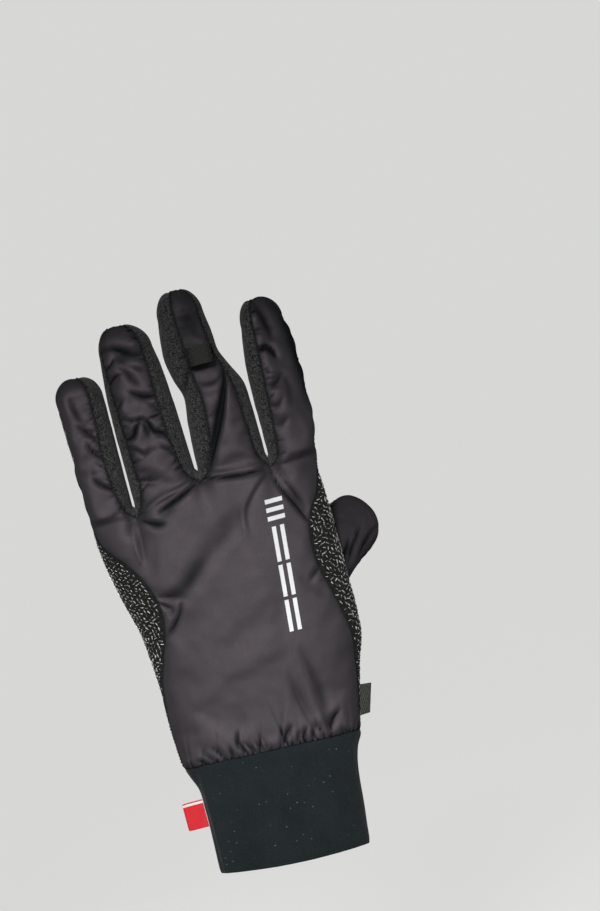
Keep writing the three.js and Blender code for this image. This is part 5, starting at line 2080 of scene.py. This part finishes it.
@dataclass
class Cuff:
    """The knitted cuff: a plain tube with a cut hem, drawn in a little at its seam."""

    shell: HandShell
    table: Table = field(default_factory=lambda: Table("z left right mid_y half_depth", [
        (-176.5, -57.6, 25.6, 16.8, 11.0),
        (-180.5, -55.8, 25.2, 16.8, 10.6),
        (-187, -53.7, 22.0, 16.9, 10.1),
        (-196, -53.4, 19.9, 17.0, 9.7),
        (-212, -53.5, 17.8, 17.0, 9.3),
        (-230, -53.6, 15.8, 17.0, 8.8),
    ]))
    hem_left: float = -226.9
    hem_right: float = -230.9
    hem_bow: float = -1.6
    wall: float = 2.2
    power: float = 2.3
    strips: int = 280
    rings: int = 110
    tucked_in: float = 0.012
    girth: float = 146.0
    length: float = 51.8
    lumps: tuple[Lumps, ...] = (Lumps(0.5, 9.0, 2.2), Lumps(0.22, 3.4, 7.7))
    lump_squeeze: tuple[float, float, float] = (1.0, 1.0, 0.35)
    top_x: tuple[float, float] = (-57.6, 25.4)
    hem_x: tuple[float, float] = (-53.6, 15.8)
    middle: tuple[float, float] = (-18.0, 17.0)
    side_seam_x: float = -52.6

    def build(self, material: bpy.types.Material) -> bpy.types.Object:
        """Builds the cuff.

        Args:
            material: its finish.

        Returns:
            The piece.
        """
        skin = Skin()
        rings = []
        heights = []
        strips = steps(self.strips)
        angles = np.pi * (1 - 2 * np.arange(strips) / strips)
        for share in np.linspace(1, -self.tucked_in, steps(self.rings)):
            left_z = mix(self.shell.wrist_left, self.hem_left, share)
            right_z = mix(self.shell.wrist_right, self.hem_right, share)
            section = Section.between(self.table, left_z, right_z, left_z, self.power)
            points = section.points(angles)
            across = section.share(points[:, 0])
            points[:, 2] = mix(left_z, right_z, across) + self.hem_bow * share * np.sin(np.pi * across)
            ring = skin.add(points)
            rings.append(np.append(ring, ring[0]))
            heights.append((left_z + right_z) / 2)
        skin.lay("cuff", rings, heights)
        cloth = panel_cloth(skin, "cuff", self._heights(skin), self.wall, 0.0)
        piece = enlist(cloth.to_object("knit_cuff", material, 60), Slot.KNIT, "cuff")
        return piece

    def _heights(self, skin: Skin) -> np.ndarray:
        """Works out the knit's unevenness, its cut hem and the gathers below its upper seam.

        Args:
            skin: the cuff's surface.

        Returns:
            How far each of its points stands out.
        """
        points = skin.points
        x, y, z = points.T
        result = sum(layer.heights(points * self.lump_squeeze) for layer in self.lumps)
        across_top = (x - self.top_x[0]) / (self.top_x[1] - self.top_x[0])
        below = np.maximum(mix(self.shell.wrist_left, self.shell.wrist_right, across_top) - z, 0)
        turn = np.arctan2(y - self.middle[1], x - self.middle[0])
        tucks = np.sin(x * 2.1 + 2 * np.sin(x * 0.37)) * np.exp(-below / 4.5)
        result += 0.35 * tucks * np.abs(np.sin(turn)) - 0.9 * np.exp(-below / 1.3)
        across_hem = (x - self.hem_x[0]) / (self.hem_x[1] - self.hem_x[0])
        up = np.maximum(z - mix(self.hem_left, self.hem_right, across_hem), 0)
        side = np.exp(-((x - self.side_seam_x) / 1.1) ** 2)
        return result - 0.45 * np.exp(-up / 0.9) - 0.5 * side


@dataclass
class Slab:
    """A flat folded tape or ribbon: four corners seen from the front, with rounded edges."""

    name: str
    corners: tuple[tuple[float, float], ...]
    thickness: float
    y: float
    bulge: float = 0.45
    curl: float = 0.0
    columns: int = 26
    rows: int = 36

    def build(self, material: bpy.types.Material, slot: Slot, node: str) -> bpy.types.Object:
        """Builds the tape.

        Args:
            material: its finish.
            slot: the record's finish that it takes.
            node: the part that it stands for.

        Returns:
            The piece.
        """
        low_left, low_right, high_right, high_left = np.array(self.corners)
        columns, rows = steps(self.columns), steps(self.rows)
        u, v = np.meshgrid(np.linspace(0, 1, columns + 1), np.linspace(0, 1, rows + 1))
        u, v = u[..., None], v[..., None]
        flat = mix(mix(low_left, low_right, u), mix(high_left, high_right, u), v)
        edge = np.minimum(np.minimum(u, 1 - u) * columns, np.minimum(v, 1 - v) * rows)
        half = self.thickness / 2 * (1 - self.bulge * np.exp(-edge / 1.2))
        middle = self.y + self.curl * (1 - v) ** 2 * u
        faces = [np.concatenate([flat[..., :1], middle + side * half, flat[..., 1:]], axis=-1)
                 for side in (-1, 1)]
        return enlist(grid_cloth(*faces, flat - low_left).to_object(self.name, material, 60), slot, node)


def bent_tape(outside: np.ndarray, inside: np.ndarray, top: float, bottom: float,
              columns: int) -> tuple[list[np.ndarray], np.ndarray, np.ndarray]:
    """Sweeps the outline of a bent tape, drawn from above, upright from top to bottom.

    Args:
        outside: the outer face's line, in X and Y.
        inside: the inner face's line, a point for each outer one.
        top: height of the first edge.
        bottom: height of the other edge.
        columns: faces from edge to edge.

    Returns:
        The points of both faces, and each point's height and its place along the tape.
    """
    share = np.linspace(0, 1, columns + 1)
    edge = np.minimum(share, 1 - share) * columns
    squeeze = 0.15 * np.exp(-edge / 0.8)[None, :, None] * (inside - outside)[:, None]
    shape = (len(outside), columns + 1, 1)
    heights = np.broadcast_to(mix(top, bottom, share)[None, :, None], shape)
    faces = [np.concatenate([line[:, None] + side * squeeze, heights], axis=-1)
             for line, side in ((outside, 1), (inside, -1))]
    return faces, heights, np.broadcast_to(distances(outside)[:, None, None], shape)


@dataclass
class FoldedRibbon:
    """The ribbon at the cuff's edge, folded double with the fold away from the hand."""

    fold_x: float = -62.7
    seam_x: float = -53.2
    top: float = -192.0
    bottom: float = -204.8
    y: float = 17.0
    reach: float = 0.55
    ribbon: float = 0.42
    rounding: float = 0.05
    columns: int = 30
    fold_points: int = 13
    side_points: int = 18

    def _line(self, reach: float) -> np.ndarray:
        """Draws one face of the ribbon seen from above: along the front, round the fold and back.

        Args:
            reach: how far that face lies from the middle.

        Returns:
            Its points, in X and Y.
        """
        turn = np.linspace(-math.pi / 2, -1.5 * math.pi, self.fold_points)
        middle = np.array([self.fold_x + self.reach, self.y])
        fold = middle + reach * np.column_stack([np.cos(turn), np.sin(turn)])
        share = np.linspace(0, 1, self.side_points)[:, None]
        front = mix(np.array([self.seam_x, self.y - reach]), fold[0], share)
        back = mix(fold[-1], np.array([self.seam_x, self.y + reach]), share)
        return np.concatenate([front[:-1], fold, back[1:]])

    def build(self, material: bpy.types.Material) -> bpy.types.Object:
        """Builds the ribbon.

        Args:
            material: its finish.

        Returns:
            The piece.
        """
        outside, inside = self._line(self.reach), self._line(self.reach - self.ribbon)
        faces, heights, walked = bent_tape(outside, inside, self.top, self.bottom, steps(self.columns))
        flat = np.concatenate([walked, heights - self.bottom], axis=-1)
        middle = (self.top + self.bottom) / 2
        for face in faces:
            drawn_in = 1 - self.rounding * np.exp(-(face[..., 0] - self.fold_x) / 0.8)
            face[..., 2] = middle + (face[..., 2] - middle) * drawn_in
        piece = grid_cloth(*faces, flat).to_object("ribbon_label", material, 60)
        enlist(piece, Slot.RIBBON, "cuff_label")
        return piece


@dataclass
class HangLoop:
    """The loop of tape on the middle finger that the glove hangs on."""

    seam_x: float = -7.4
    end_x: float = 4.3
    top: float = 8.1
    bottom: float = -0.7
    opening: float = 5.8
    tape: float = 1.1
    seam_y: float = 2.7
    lead: float = 4.4
    tail_y: float = 5.15
    tail_x: float = 1.6
    tail_slant: tuple[float, float] = (1.2, 0.3)
    columns: int = 16
    side_points: int = 14
    end_points: int = 28

    def _line(self, reach: float, start_x: float, tail: tuple[float, float]) -> np.ndarray:
        """One face of the tape seen from above, from the finger out, round the end and back.

        Args:
            reach: how far that face lies from the middle of the loop.
            start_x: where it starts at the seam.
            tail: where it ends.

        Returns:
            Its points, in X and Y.
        """
        arc_x = self.end_x - self.opening / 2 - self.tape
        t = np.linspace(0, 1, self.side_points)[:, None]
        start, corner = np.array([[start_x, self.seam_y], [start_x, -reach]])
        end = np.array([self.seam_x + self.lead, -reach])
        turn = np.linspace(-math.pi / 2, math.pi / 2, self.end_points)
        round_end = np.column_stack([arc_x + reach * np.cos(turn), reach * np.sin(turn)])
        back = mix(np.array([arc_x, reach]), np.array([self.seam_x + 2 * self.tape, reach]), t[1:])
        lead_in = (1 - t) ** 2 * start + 2 * t * (1 - t) * corner + t**2 * end
        return np.concatenate([lead_in, round_end, back, [tail]])

    def build(self, material: bpy.types.Material) -> bpy.types.Object:
        """Builds the loop.

        Args:
            material: its finish.

        Returns:
            The piece.
        """
        inner, outer = self.opening / 2, self.opening / 2 + self.tape
        tail_x, (slant_x, slant_y) = self.seam_x + self.tail_x, self.tail_slant
        outside = self._line(outer, self.seam_x, (tail_x, self.tail_y))
        inside = self._line(inner, self.seam_x + self.tape, (tail_x - slant_x, self.tail_y - slant_y))
        faces, heights, walked = bent_tape(outside, inside, self.top, self.bottom, steps(self.columns))
        flat = np.concatenate([heights, walked], axis=-1)
        return enlist(grid_cloth(*faces, flat).to_object("finger_loop", material, 60), Slot.TAPE, "hang_loop")


@dataclass
class ReflectiveMark:
    """Plain reflective bars on the back of the hand, beside the thumb."""

    left: float = 9.8
    right: float = 17.8
    top: float = -67.5
    bar: float = 2.0
    pitch: float = 3.9
    bars: int = 3
    stem_top: float = -80.0
    stem_bottom: float = -128.0
    stem_width: float = 1.9
    stem_gap: float = 1.9
    slope: float = 0.09
    cuts: tuple[float, ...] = (-96.0, -112.0)
    cut: float = 1.6
    lift: float = 0.14
    sink: float = 0.1
    spacing: float = 0.5
    start_y: float = -60.0

    def _boxes(self) -> list[tuple[float, float, float, float]]:
        """Lists the printed bars.

        Returns:
            Left, right, bottom and top of each.
        """
        tops = [self.top - i * self.pitch for i in range(self.bars)]
        boxes = [(self.left, self.right, top - self.bar, top) for top in tops]
        middle = (self.left + self.right) / 2
        ends = [self.stem_top, *[z for cut in self.cuts for z in (cut, cut - self.cut)], self.stem_bottom]
        for left in (middle - self.stem_gap / 2 - self.stem_width, middle + self.stem_gap / 2):
            boxes += [(left, left + self.stem_width, low, high) for high, low in zip(ends[::2], ends[1::2])]
        return boxes

    def build(self, back: Cloth, material: bpy.types.Material) -> bpy.types.Object:
        """Lays the bars on the nylon.

        Args:
            back: the nylon of the back of the hand.
            material: the bars' finish.

        Returns:
            All the bars as one piece.
        """
        outer = [face for face in back.faces if max(face) < back.outer_count]
        tree = BVHTree.FromPolygons([Vector(point) for point in back.points[:back.outer_count]], outer)
        points, faces, uvs = [], [], []
        for left, right, low, high in self._boxes():
            x, z = np.meshgrid(np.linspace(left, right, round((right - left) / self.spacing) + 1),
                               np.linspace(low, high, round((high - low) / self.spacing) + 1))
            starts = zip((x + self.slope * (z - self.top)).ravel(), z.ravel())
            hits = [tree.ray_cast(Vector((a, self.start_y, b)), Vector((0, 1, 0)))[:2] for a, b in starts]
            spots, normals = (np.array(values).reshape(*x.shape, 3) for values in zip(*hits))
            flat = np.stack([x, z], axis=-1)
            bar = grid_cloth(spots + self.lift * normals, spots - self.sink * normals, flat)
            first = sum(map(len, points))
            faces += [tuple(i + first for i in face) for face in bar.faces]
            points.append(bar.points)
            uvs.append(bar.uvs)
        whole = Cloth(np.concatenate(points), faces, np.concatenate(uvs), 0)
        return enlist(whole.to_object("reflective_bars", material, 60), Slot.NYLON)


def scatter_group(name: str, item: bpy.types.Mesh, material: bpy.types.Material) -> bpy.types.NodeTree:
    """A Geometry Nodes group that puts one item on every point, turned by the point's own rotation.

    Args:
        name: the group's name.
        item: the mesh to repeat.
        material: its finish.

    Returns:
        The group, with its item's size as a named input.
    """
    tree = bpy.data.node_groups.new(name, "GeometryNodeTree")
    tree.interface.new_socket("Geometry", in_out="INPUT", socket_type="NodeSocketGeometry")
    tree.interface.new_socket("Size", in_out="INPUT", socket_type="NodeSocketFloat").default_value = 1.0
    tree.interface.new_socket("Geometry", in_out="OUTPUT", socket_type="NodeSocketGeometry")
    kinds = {
        "start": "NodeGroupInput",
        "item": "GeometryNodeObjectInfo",
        "turn": "GeometryNodeInputNamedAttribute",
        "stretch": "GeometryNodeInputNamedAttribute",
        "scale": "ShaderNodeMath",
        "points": "GeometryNodeMeshToPoints",
        "place": "GeometryNodeInstanceOnPoints",
        "real": "GeometryNodeRealizeInstances",
        "paint": "GeometryNodeSetMaterial",
        "end": "NodeGroupOutput",
    }
    nodes = {key: tree.nodes.new(kind) for key, kind in kinds.items()}
    nodes["item"].inputs["Object"].default_value = bpy.data.objects.new(name + "_item", item)
    for key, data_type in (("turn", "FLOAT_VECTOR"), ("stretch", "FLOAT")):
        nodes[key].data_type = data_type
        nodes[key].inputs["Name"].default_value = key
    nodes["scale"].operation = "MULTIPLY"
    nodes["paint"].inputs["Material"].default_value = material
    wires = (
        ("start", "Geometry", "points", "Mesh"),
        ("points", "Points", "place", "Points"),
        ("item", "Geometry", "place", "Instance"),
        ("turn", "Attribute", "place", "Rotation"),
        ("stretch", "Attribute", "scale", 0),
        ("start", "Size", "scale", 1),
        ("scale", 0, "place", "Scale"),
        ("place", "Instances", "real", "Geometry"),
        ("real", "Geometry", "paint", "Geometry"),
        ("paint", "Geometry", "end", "Geometry"),
    )
    for source, output, target, entry in wires:
        tree.links.new(nodes[source].outputs[output], nodes[target].inputs[entry])
    return tree


def scatter(name: str, places: Sequence[Place], item: bpy.types.Mesh,
            material: bpy.types.Material) -> bpy.types.Object:
    """Puts an item at many places and bakes the result to one mesh.

    Args:
        name: the new piece's name.
        places: for each item its place in millimetres, its direction, the surface's normal and its size.
        item: the mesh to repeat, along X with Z outward.
        material: its finish.

    Returns:
        The baked piece.
    """
    mesh = bpy.data.meshes.new(name + "_places")
    mesh.from_pydata([tuple(spot * MM) for spot, _, _, _ in places], [], [])
    turns = []
    for _, along, normal, _ in places:
        z = unit(normal)
        x = unit(along - z * (along @ z))
        turns.append(Matrix((x, np.cross(z, x), z)).transposed().to_euler())
    mesh.attributes.new("turn", "FLOAT_VECTOR", "POINT").data.foreach_set("vector", np.ravel(turns))
    sizes = [size for _, _, _, size in places]
    mesh.attributes.new("stretch", "FLOAT", "POINT").data.foreach_set("value", sizes)
    carrier = new_object(name + "_places", mesh)
    group = scatter_group(name + "_nodes", item, material)
    modifier = carrier.modifiers.new("places", "NODES")
    modifier.node_group = group
    size_input = next(s for s in group.interface.items_tree if s.name == "Size" and s.in_out == "INPUT")
    modifier[size_input.identifier] = 1.0
    baked = bpy.data.meshes.new_from_object(carrier.evaluated_get(bpy.context.evaluated_depsgraph_get()))
    baked.name = name
    bpy.data.objects.remove(carrier)
    return new_object(name, baked)


def bean(name: str, length: float, width: float, height: float, sides: int = 6) -> bpy.types.Mesh:
    """A small rounded bar along X that stands on Z = 0 and reaches a little below it.

    Args:
        name: the mesh's name.
        length: its length in millimetres.
        width: its width.
        height: its height above the cloth.
        sides: points round its section.

    Returns:
        The mesh.
    """
    end, shoulder = length / 2, length / 2 - width * 0.35
    spots = [(-end, 0.45), (-shoulder, 1.0), (shoulder, 1.0), (end, 0.45)]
    angles = [2 * math.pi * (i + 0.5) / sides for i in range(sides)]
    points = [(x, width / 2 * share * math.cos(angle), height * share * math.sin(angle))
              for x, share in spots for angle in angles]
    faces = tube_faces(len(spots), sides)
    faces.append(tuple(range(sides)))
    faces.append(tuple(reversed(range(len(points) - sides, len(points)))))
    mesh = bpy.data.meshes.new(name)
    mesh.from_pydata([tuple(c * MM for c in point) for point in points], [], faces)
    mesh.polygons.foreach_set("use_smooth", [True] * len(mesh.polygons))
    mesh.update()
    return mesh


@dataclass
class GripDashes:
    """The raised silicone dashes of the grip cloth, most of them upright and some of them slanted."""

    across: float = 1.95
    up: float = 2.15
    length: float = 1.75
    width: float = 0.5
    height: float = 0.34
    margin: float = 0.8
    sides: int = 4
    ways: tuple[float, ...] = (113, 86, 116, 20, 160)
    wobble: float = 9.0
    stray: float = 0.2
    least: float = 0.6
    most: float = 1.15
    seed: int = 7

    def places(self, skin: Skin, panel: str, heights: np.ndarray,
               keep: np.ndarray | None = None) -> list[Place]:
        """Where the dashes go on one panel.

        Args:
            skin: the surface.
            panel: the panel's name.
            heights: how far the cloth stands out at each of the skin's points.
            keep: which of the panel's faces are there, all of them if left out.

        Returns:
            Place, direction, normal and size of each dash.
        """
        rng = np.random.default_rng(self.seed)
        quads, uvs = skin.quads(panel), skin.corner_uvs(panel)
        if keep is not None:
            quads, uvs = quads[keep], uvs[keep]
        normals = skin.normals()
        points = skin.points + normals * heights[:, None]
        result = []
        low, high = uvs.min(axis=(0, 1)), uvs.max(axis=(0, 1))
        cells = np.array([
            (column, row + (column % 2) / 2)
            for column in range(int(low[0] // self.across), int(high[0] // self.across) + 2)
            for row in range(int(low[1] // self.up), int(high[1] // self.up) + 2)])
        centres = (cells + rng.uniform(-self.stray, self.stray, cells.shape)) * (self.across, self.up)
        turns = np.radians(rng.choice(self.ways, len(cells)) + rng.normal(0, self.wobble, len(cells)))
        sizes = rng.uniform(self.least, self.most, len(cells))
        tree = point_tree(np.concatenate([points[numbers] for numbers in skin.seams.values()]))
        order = np.argsort(centres[:, 1])
        sorted_v = centres[order, 1]
        for quad, uv in zip(quads, uvs):
            left, bottom = uv.min(axis=0)
            right, top = uv.max(axis=0)
            first, last = np.searchsorted(sorted_v, (bottom, top))
            for index in order[first:last]:
                u, v = centres[index]
                if not left <= u < right:
                    continue
                share_v = (v - uv[0, 1]) / max(uv[3, 1] - uv[0, 1], 1e-6)
                start, end = mix(uv[0, 0], uv[3, 0], share_v), mix(uv[1, 0], uv[2, 0], share_v)
                if not start <= u < end:
                    continue
                share_u = (u - start) / (end - start)
                a, b, c, d = points[quad]
                spot = mix(mix(a, b, share_u), mix(d, c, share_u), share_v)
                along_u = mix(b - a, c - d, share_v)
                along_v = mix(d - a, c - b, share_u)
                normal = np.cross(along_u, along_v)
                if (normal**2).sum() < 1e-12 or tree.find(spot)[2] < self.margin:
                    continue
                along = math.cos(turns[index]) * unit(along_u) + math.sin(turns[index]) * unit(along_v)
                result.append((spot, along, unit(normal), float(sizes[index])))
        return result


@dataclass
class SeamStitches:
    """Short thread bars across the seams."""

    pitch: float = 1.6
    length: float = 1.25
    width: float = 0.55
    height: float = 0.3
    sides: int = 5
    lift: float = 0.26
    slant: float = 0.35

    def places(self, skin: Skin, seam: str, heights: np.ndarray) -> list[Place]:
        """Where the stitches of one seam go, from its second point to its last but one.

        Args:
            skin: the surface.
            seam: the seam's name.
            heights: how far the cloth stands out at each of the skin's points.

        Returns:
            Place, direction, normal and size of each stitch.
        """
        numbers = skin.seams[seam][1:-1]
        normals = skin.normals()[numbers]
        line = skin.points[numbers] + normals * heights[numbers, None]
        walked = distances(line)
        result = []
        for place in np.arange(self.pitch / 2, walked[-1], self.pitch):
            spot = point_at(place, walked, line)
            normal = unit(point_at(place, walked, normals))
            index = min(int(np.searchsorted(walked, place)), len(line) - 1)
            along = line[index] - line[max(index - 1, 0)]
            across = np.cross(normal, along)
            result.append((spot + normal * self.lift, across + self.slant * along, normal, 1.0))
        return result


@dataclass
class Studio:
    """Camera, lights and the pale seamless ground."""

    centre_x: float = 30.6
    centre_z: float = -52.05
    plane_y: float = 4.0
    frame_height: float = 412.7
    roll: float = math.radians(15)
    lens: float = 150.0
    sensor: float = 36.0
    ground_z: float = -360.0

    def camera(self) -> None:
        """Sets the camera to the photo's angle."""
        data = bpy.data.cameras.new("camera")
        data.lens = self.lens
        data.sensor_width = self.sensor
        data.clip_start, data.clip_end = 0.05, 60
        data.dof.use_dof = False
        distance = self.lens / self.sensor * self.frame_height
        right = Vector((math.cos(self.roll), 0, -math.sin(self.roll)))
        up = Vector((math.sin(self.roll), 0, math.cos(self.roll)))
        turn = Matrix((right, up, right.cross(up))).transposed()
        place = Vector((self.centre_x, self.plane_y - distance, self.centre_z)) * MM
        camera = new_object("camera", data)
        camera.matrix_world = Matrix.Translation(place) @ turn.to_4x4()
        bpy.context.scene.camera = camera

    def light(self, name: str, kind: str, place: tuple[float, float, float],
              target: tuple[float, float, float], watts: float, **settings: float | str) -> None:
        """Adds a light.

        Args:
            name: its name.
            kind: its type.
            place: where it stands, in metres.
            target: what it is turned to, in metres.
            watts: its power.
            settings: values of its own properties.
        """
        data = bpy.data.lights.new(name, kind)
        data.energy = watts
        for key, value in settings.items():
            setattr(data, key, value)
        way = Vector(target) - Vector(place)
        turn = way.to_track_quat("-Z", "Y").to_matrix().to_4x4()
        new_object(name, data).matrix_world = Matrix.Translation(place) @ turn

    def lights(self) -> None:
        """Sets the lights: a soft-edged key above the camera, a fill and a faint sky."""
        self.light("key", "SPOT", (-0.15, -1.72, 0.35), (-0.025, 0.0, -0.165), 208,
                   spot_size=math.radians(15), spot_blend=1.0, shadow_soft_size=0.2)
        self.light("fill", "AREA", (0.8, -1.5, 0.1), (-0.01, 0.0, -0.08), 2.0, shape="SQUARE", size=0.8)
        self.light("back fill", "SPOT", (-0.3, 1.6, -0.1), (-0.015, 0.0, -0.1), 60,
                   spot_size=math.radians(17), spot_blend=1.0, shadow_soft_size=0.3)
        for side in (-1, 1):
            self.light("side fill", "SPOT", (side * 1.6, 0.5, -0.1), (-0.015, 0.02, -0.1), 18,
                       spot_size=math.radians(17), spot_blend=1.0, shadow_soft_size=0.3)
        world = bpy.data.worlds.new("sky")
        world.use_nodes = True
        world.node_tree.nodes["Background"].inputs["Color"].default_value = (0.9, 0.95, 1.0, 1)
        world.node_tree.nodes["Background"].inputs["Strength"].default_value = 0.05
        bpy.context.scene.world = world
        view = bpy.context.scene.view_settings
        view.view_transform = "Standard"
        view.look = "None"
        view.exposure = 0.0
        view.gamma = 1.0

    def ground(self) -> None:
        """Builds the pale ground, which rises all round without an edge."""
        flat, bend, top, sides = 2.6, 1.3, 4.5, 96
        profile = [(r, 0.0) for r in (0.0, 0.8, 1.6, flat)]
        profile += [(flat + bend * math.sin(angle), bend * (1 - math.cos(angle)))
                    for angle in np.linspace(0, math.pi / 2, 13)[1:]]
        profile.append((flat + bend, top))
        angles = [2 * math.pi * i / sides for i in range(sides)]
        points = [(r * math.cos(angle), r * math.sin(angle), z + self.ground_z * MM)
                  for r, z in profile for angle in angles]
        mesh = bpy.data.meshes.new("ground")
        mesh.from_pydata(points, [], tube_faces(len(profile), sides))
        mesh.polygons.foreach_set("use_smooth", [True] * len(mesh.polygons))
        bench = Bench("pale ground")
        mesh.materials.append(bench.finish(Base_Color=(0.3, 0.3, 0.3), Roughness=0.9, Specular_IOR_Level=0.1,
                                           Emission_Color=(0.74, 0.74, 0.73), Emission_Strength=0.9))
        ground = new_object("ground", mesh)
        ground.visible_diffuse = False
        ground.visible_glossy = False


def shape_panels(shell: HandShell, thumb: Thumb,
                 finishes: dict[str, bpy.types.Material]) -> tuple[Cloth, np.ndarray]:
    """Builds the hand's panels.

    Args:
        shell: the hand.
        thumb: the thumb, whose way in is left open.
        finishes: the materials by name.

    Returns:
        The back panel's shape, and how far the cloth stands out at each of the hand's points.
    """
    # fold is the shade painted into the colour, in the cloth's folds and along its seams
    heights, fold = BackFolds(shell).heights()
    heights = heights + PaddingSettle().heights(shell)
    back = panel_cloth(shell.skin, "back_shell", heights, shell.back_wall, shell.half_gap, fold=fold)
    enlist(back.to_object("nylon_back", finishes["nylon"]), Slot.NYLON, "back_shell")
    palm = panel_cloth(shell.skin, "palm", heights, shell.palm_wall, shell.half_gap, ~thumb.opening(), fold)
    enlist(palm.to_object("grip_palm", finishes["grip"]), Slot.GRIP, "palm")
    for name in shell.fleece_names:
        strip = panel_cloth(shell.skin, name, heights, shell.fleece_wall, shell.half_gap, fold=fold)
        piece = strip.to_object(name.replace("fourchette", "fleece"), finishes["fleece"])
        enlist(piece, Slot.FLEECE, name)
    return back, heights


def main() -> None:
    """Builds the camera, the glove and the studio, in that order."""
    studio = Studio()
    studio.camera()
    finishes = {
        "nylon": NylonFinish().material(),
        "grip": GripFinish().material(),
        "silicone": SiliconeFinish().material(),
        "fleece": FleeceFinish().material(),
        "knit": KnitFinish().material(),
        "ribbon": RibbonFinish().material(),
        "tape": TapeFinish().material(),
        "loop tape": TapeFinish(ridge=(0.045, 0.048, 0.038), name="dark grosgrain tape").material(),
        "print": ReflectiveFinish().material(),
        "thread": ThreadFinish().material(),
    }
    shell = HandShell()
    thumb = Thumb(shell)
    back, heights = shape_panels(shell, thumb, finishes)

    thumb_skin = thumb.build_skin()
    thumb_heights = thumb.heights(thumb_skin)
    for name, material, slot in (("thumb_back", "nylon", Slot.NYLON), ("thumb_palm", "grip", Slot.GRIP)):
        # The thumb's deeper folds take painted shade
        cloth = panel_cloth(thumb_skin, name, thumb_heights, thumb.wall, shell.half_gap,
                            fold=np.clip(-thumb.painted_shade_from_depth - thumb_heights, 0, 1))
        piece = cloth.to_object(name.replace("thumb", "thumb_cloth"), finishes[material])
        enlist(piece, slot, name)

    Cuff(shell).build(finishes["knit"])
    FoldedRibbon().build(finishes["ribbon"])
    Slab("seam_tab", ((26.6, -173.7), (31.2, -173.5), (35.2, -160.5), (29.4, -159.9)), 1.8, 16.7).build(
        finishes["tape"], Slot.TAPE, "side_tab")
    HangLoop().build(finishes["loop tape"])
    ReflectiveMark().build(back, finishes["print"])

    dashes = GripDashes()
    bar = bean("dash", dashes.length, dashes.width, dashes.height, dashes.sides)
    places = dashes.places(shell.skin, "palm", heights, ~thumb.opening())
    places += dashes.places(thumb_skin, "thumb_palm", thumb_heights)
    LOG.info("%d dashes", len(places))
    enlist(scatter("grip_dashes", places, bar, finishes["silicone"]), Slot.GRIP)

    stitches = SeamStitches()
    thread = bean("stitch", stitches.length, stitches.width, stitches.height, stitches.sides)
    places = []
    for seam in shell.skin.seams:
        hidden = seam.endswith("_tip") or seam.startswith("wrist") or seam in ("pinky_left", "index_right")
        if not hidden:
            places += stitches.places(shell.skin, seam, heights)
    for seam in ("first", "second"):
        places += stitches.places(thumb_skin, seam, thumb_heights)
    enlist(scatter("seam_stitches", places, thread, finishes["thread"]), Slot.NYLON)

    studio.lights()
    studio.ground()


if __name__ == "__main__":
    logging.basicConfig(level=logging.INFO)
    main()
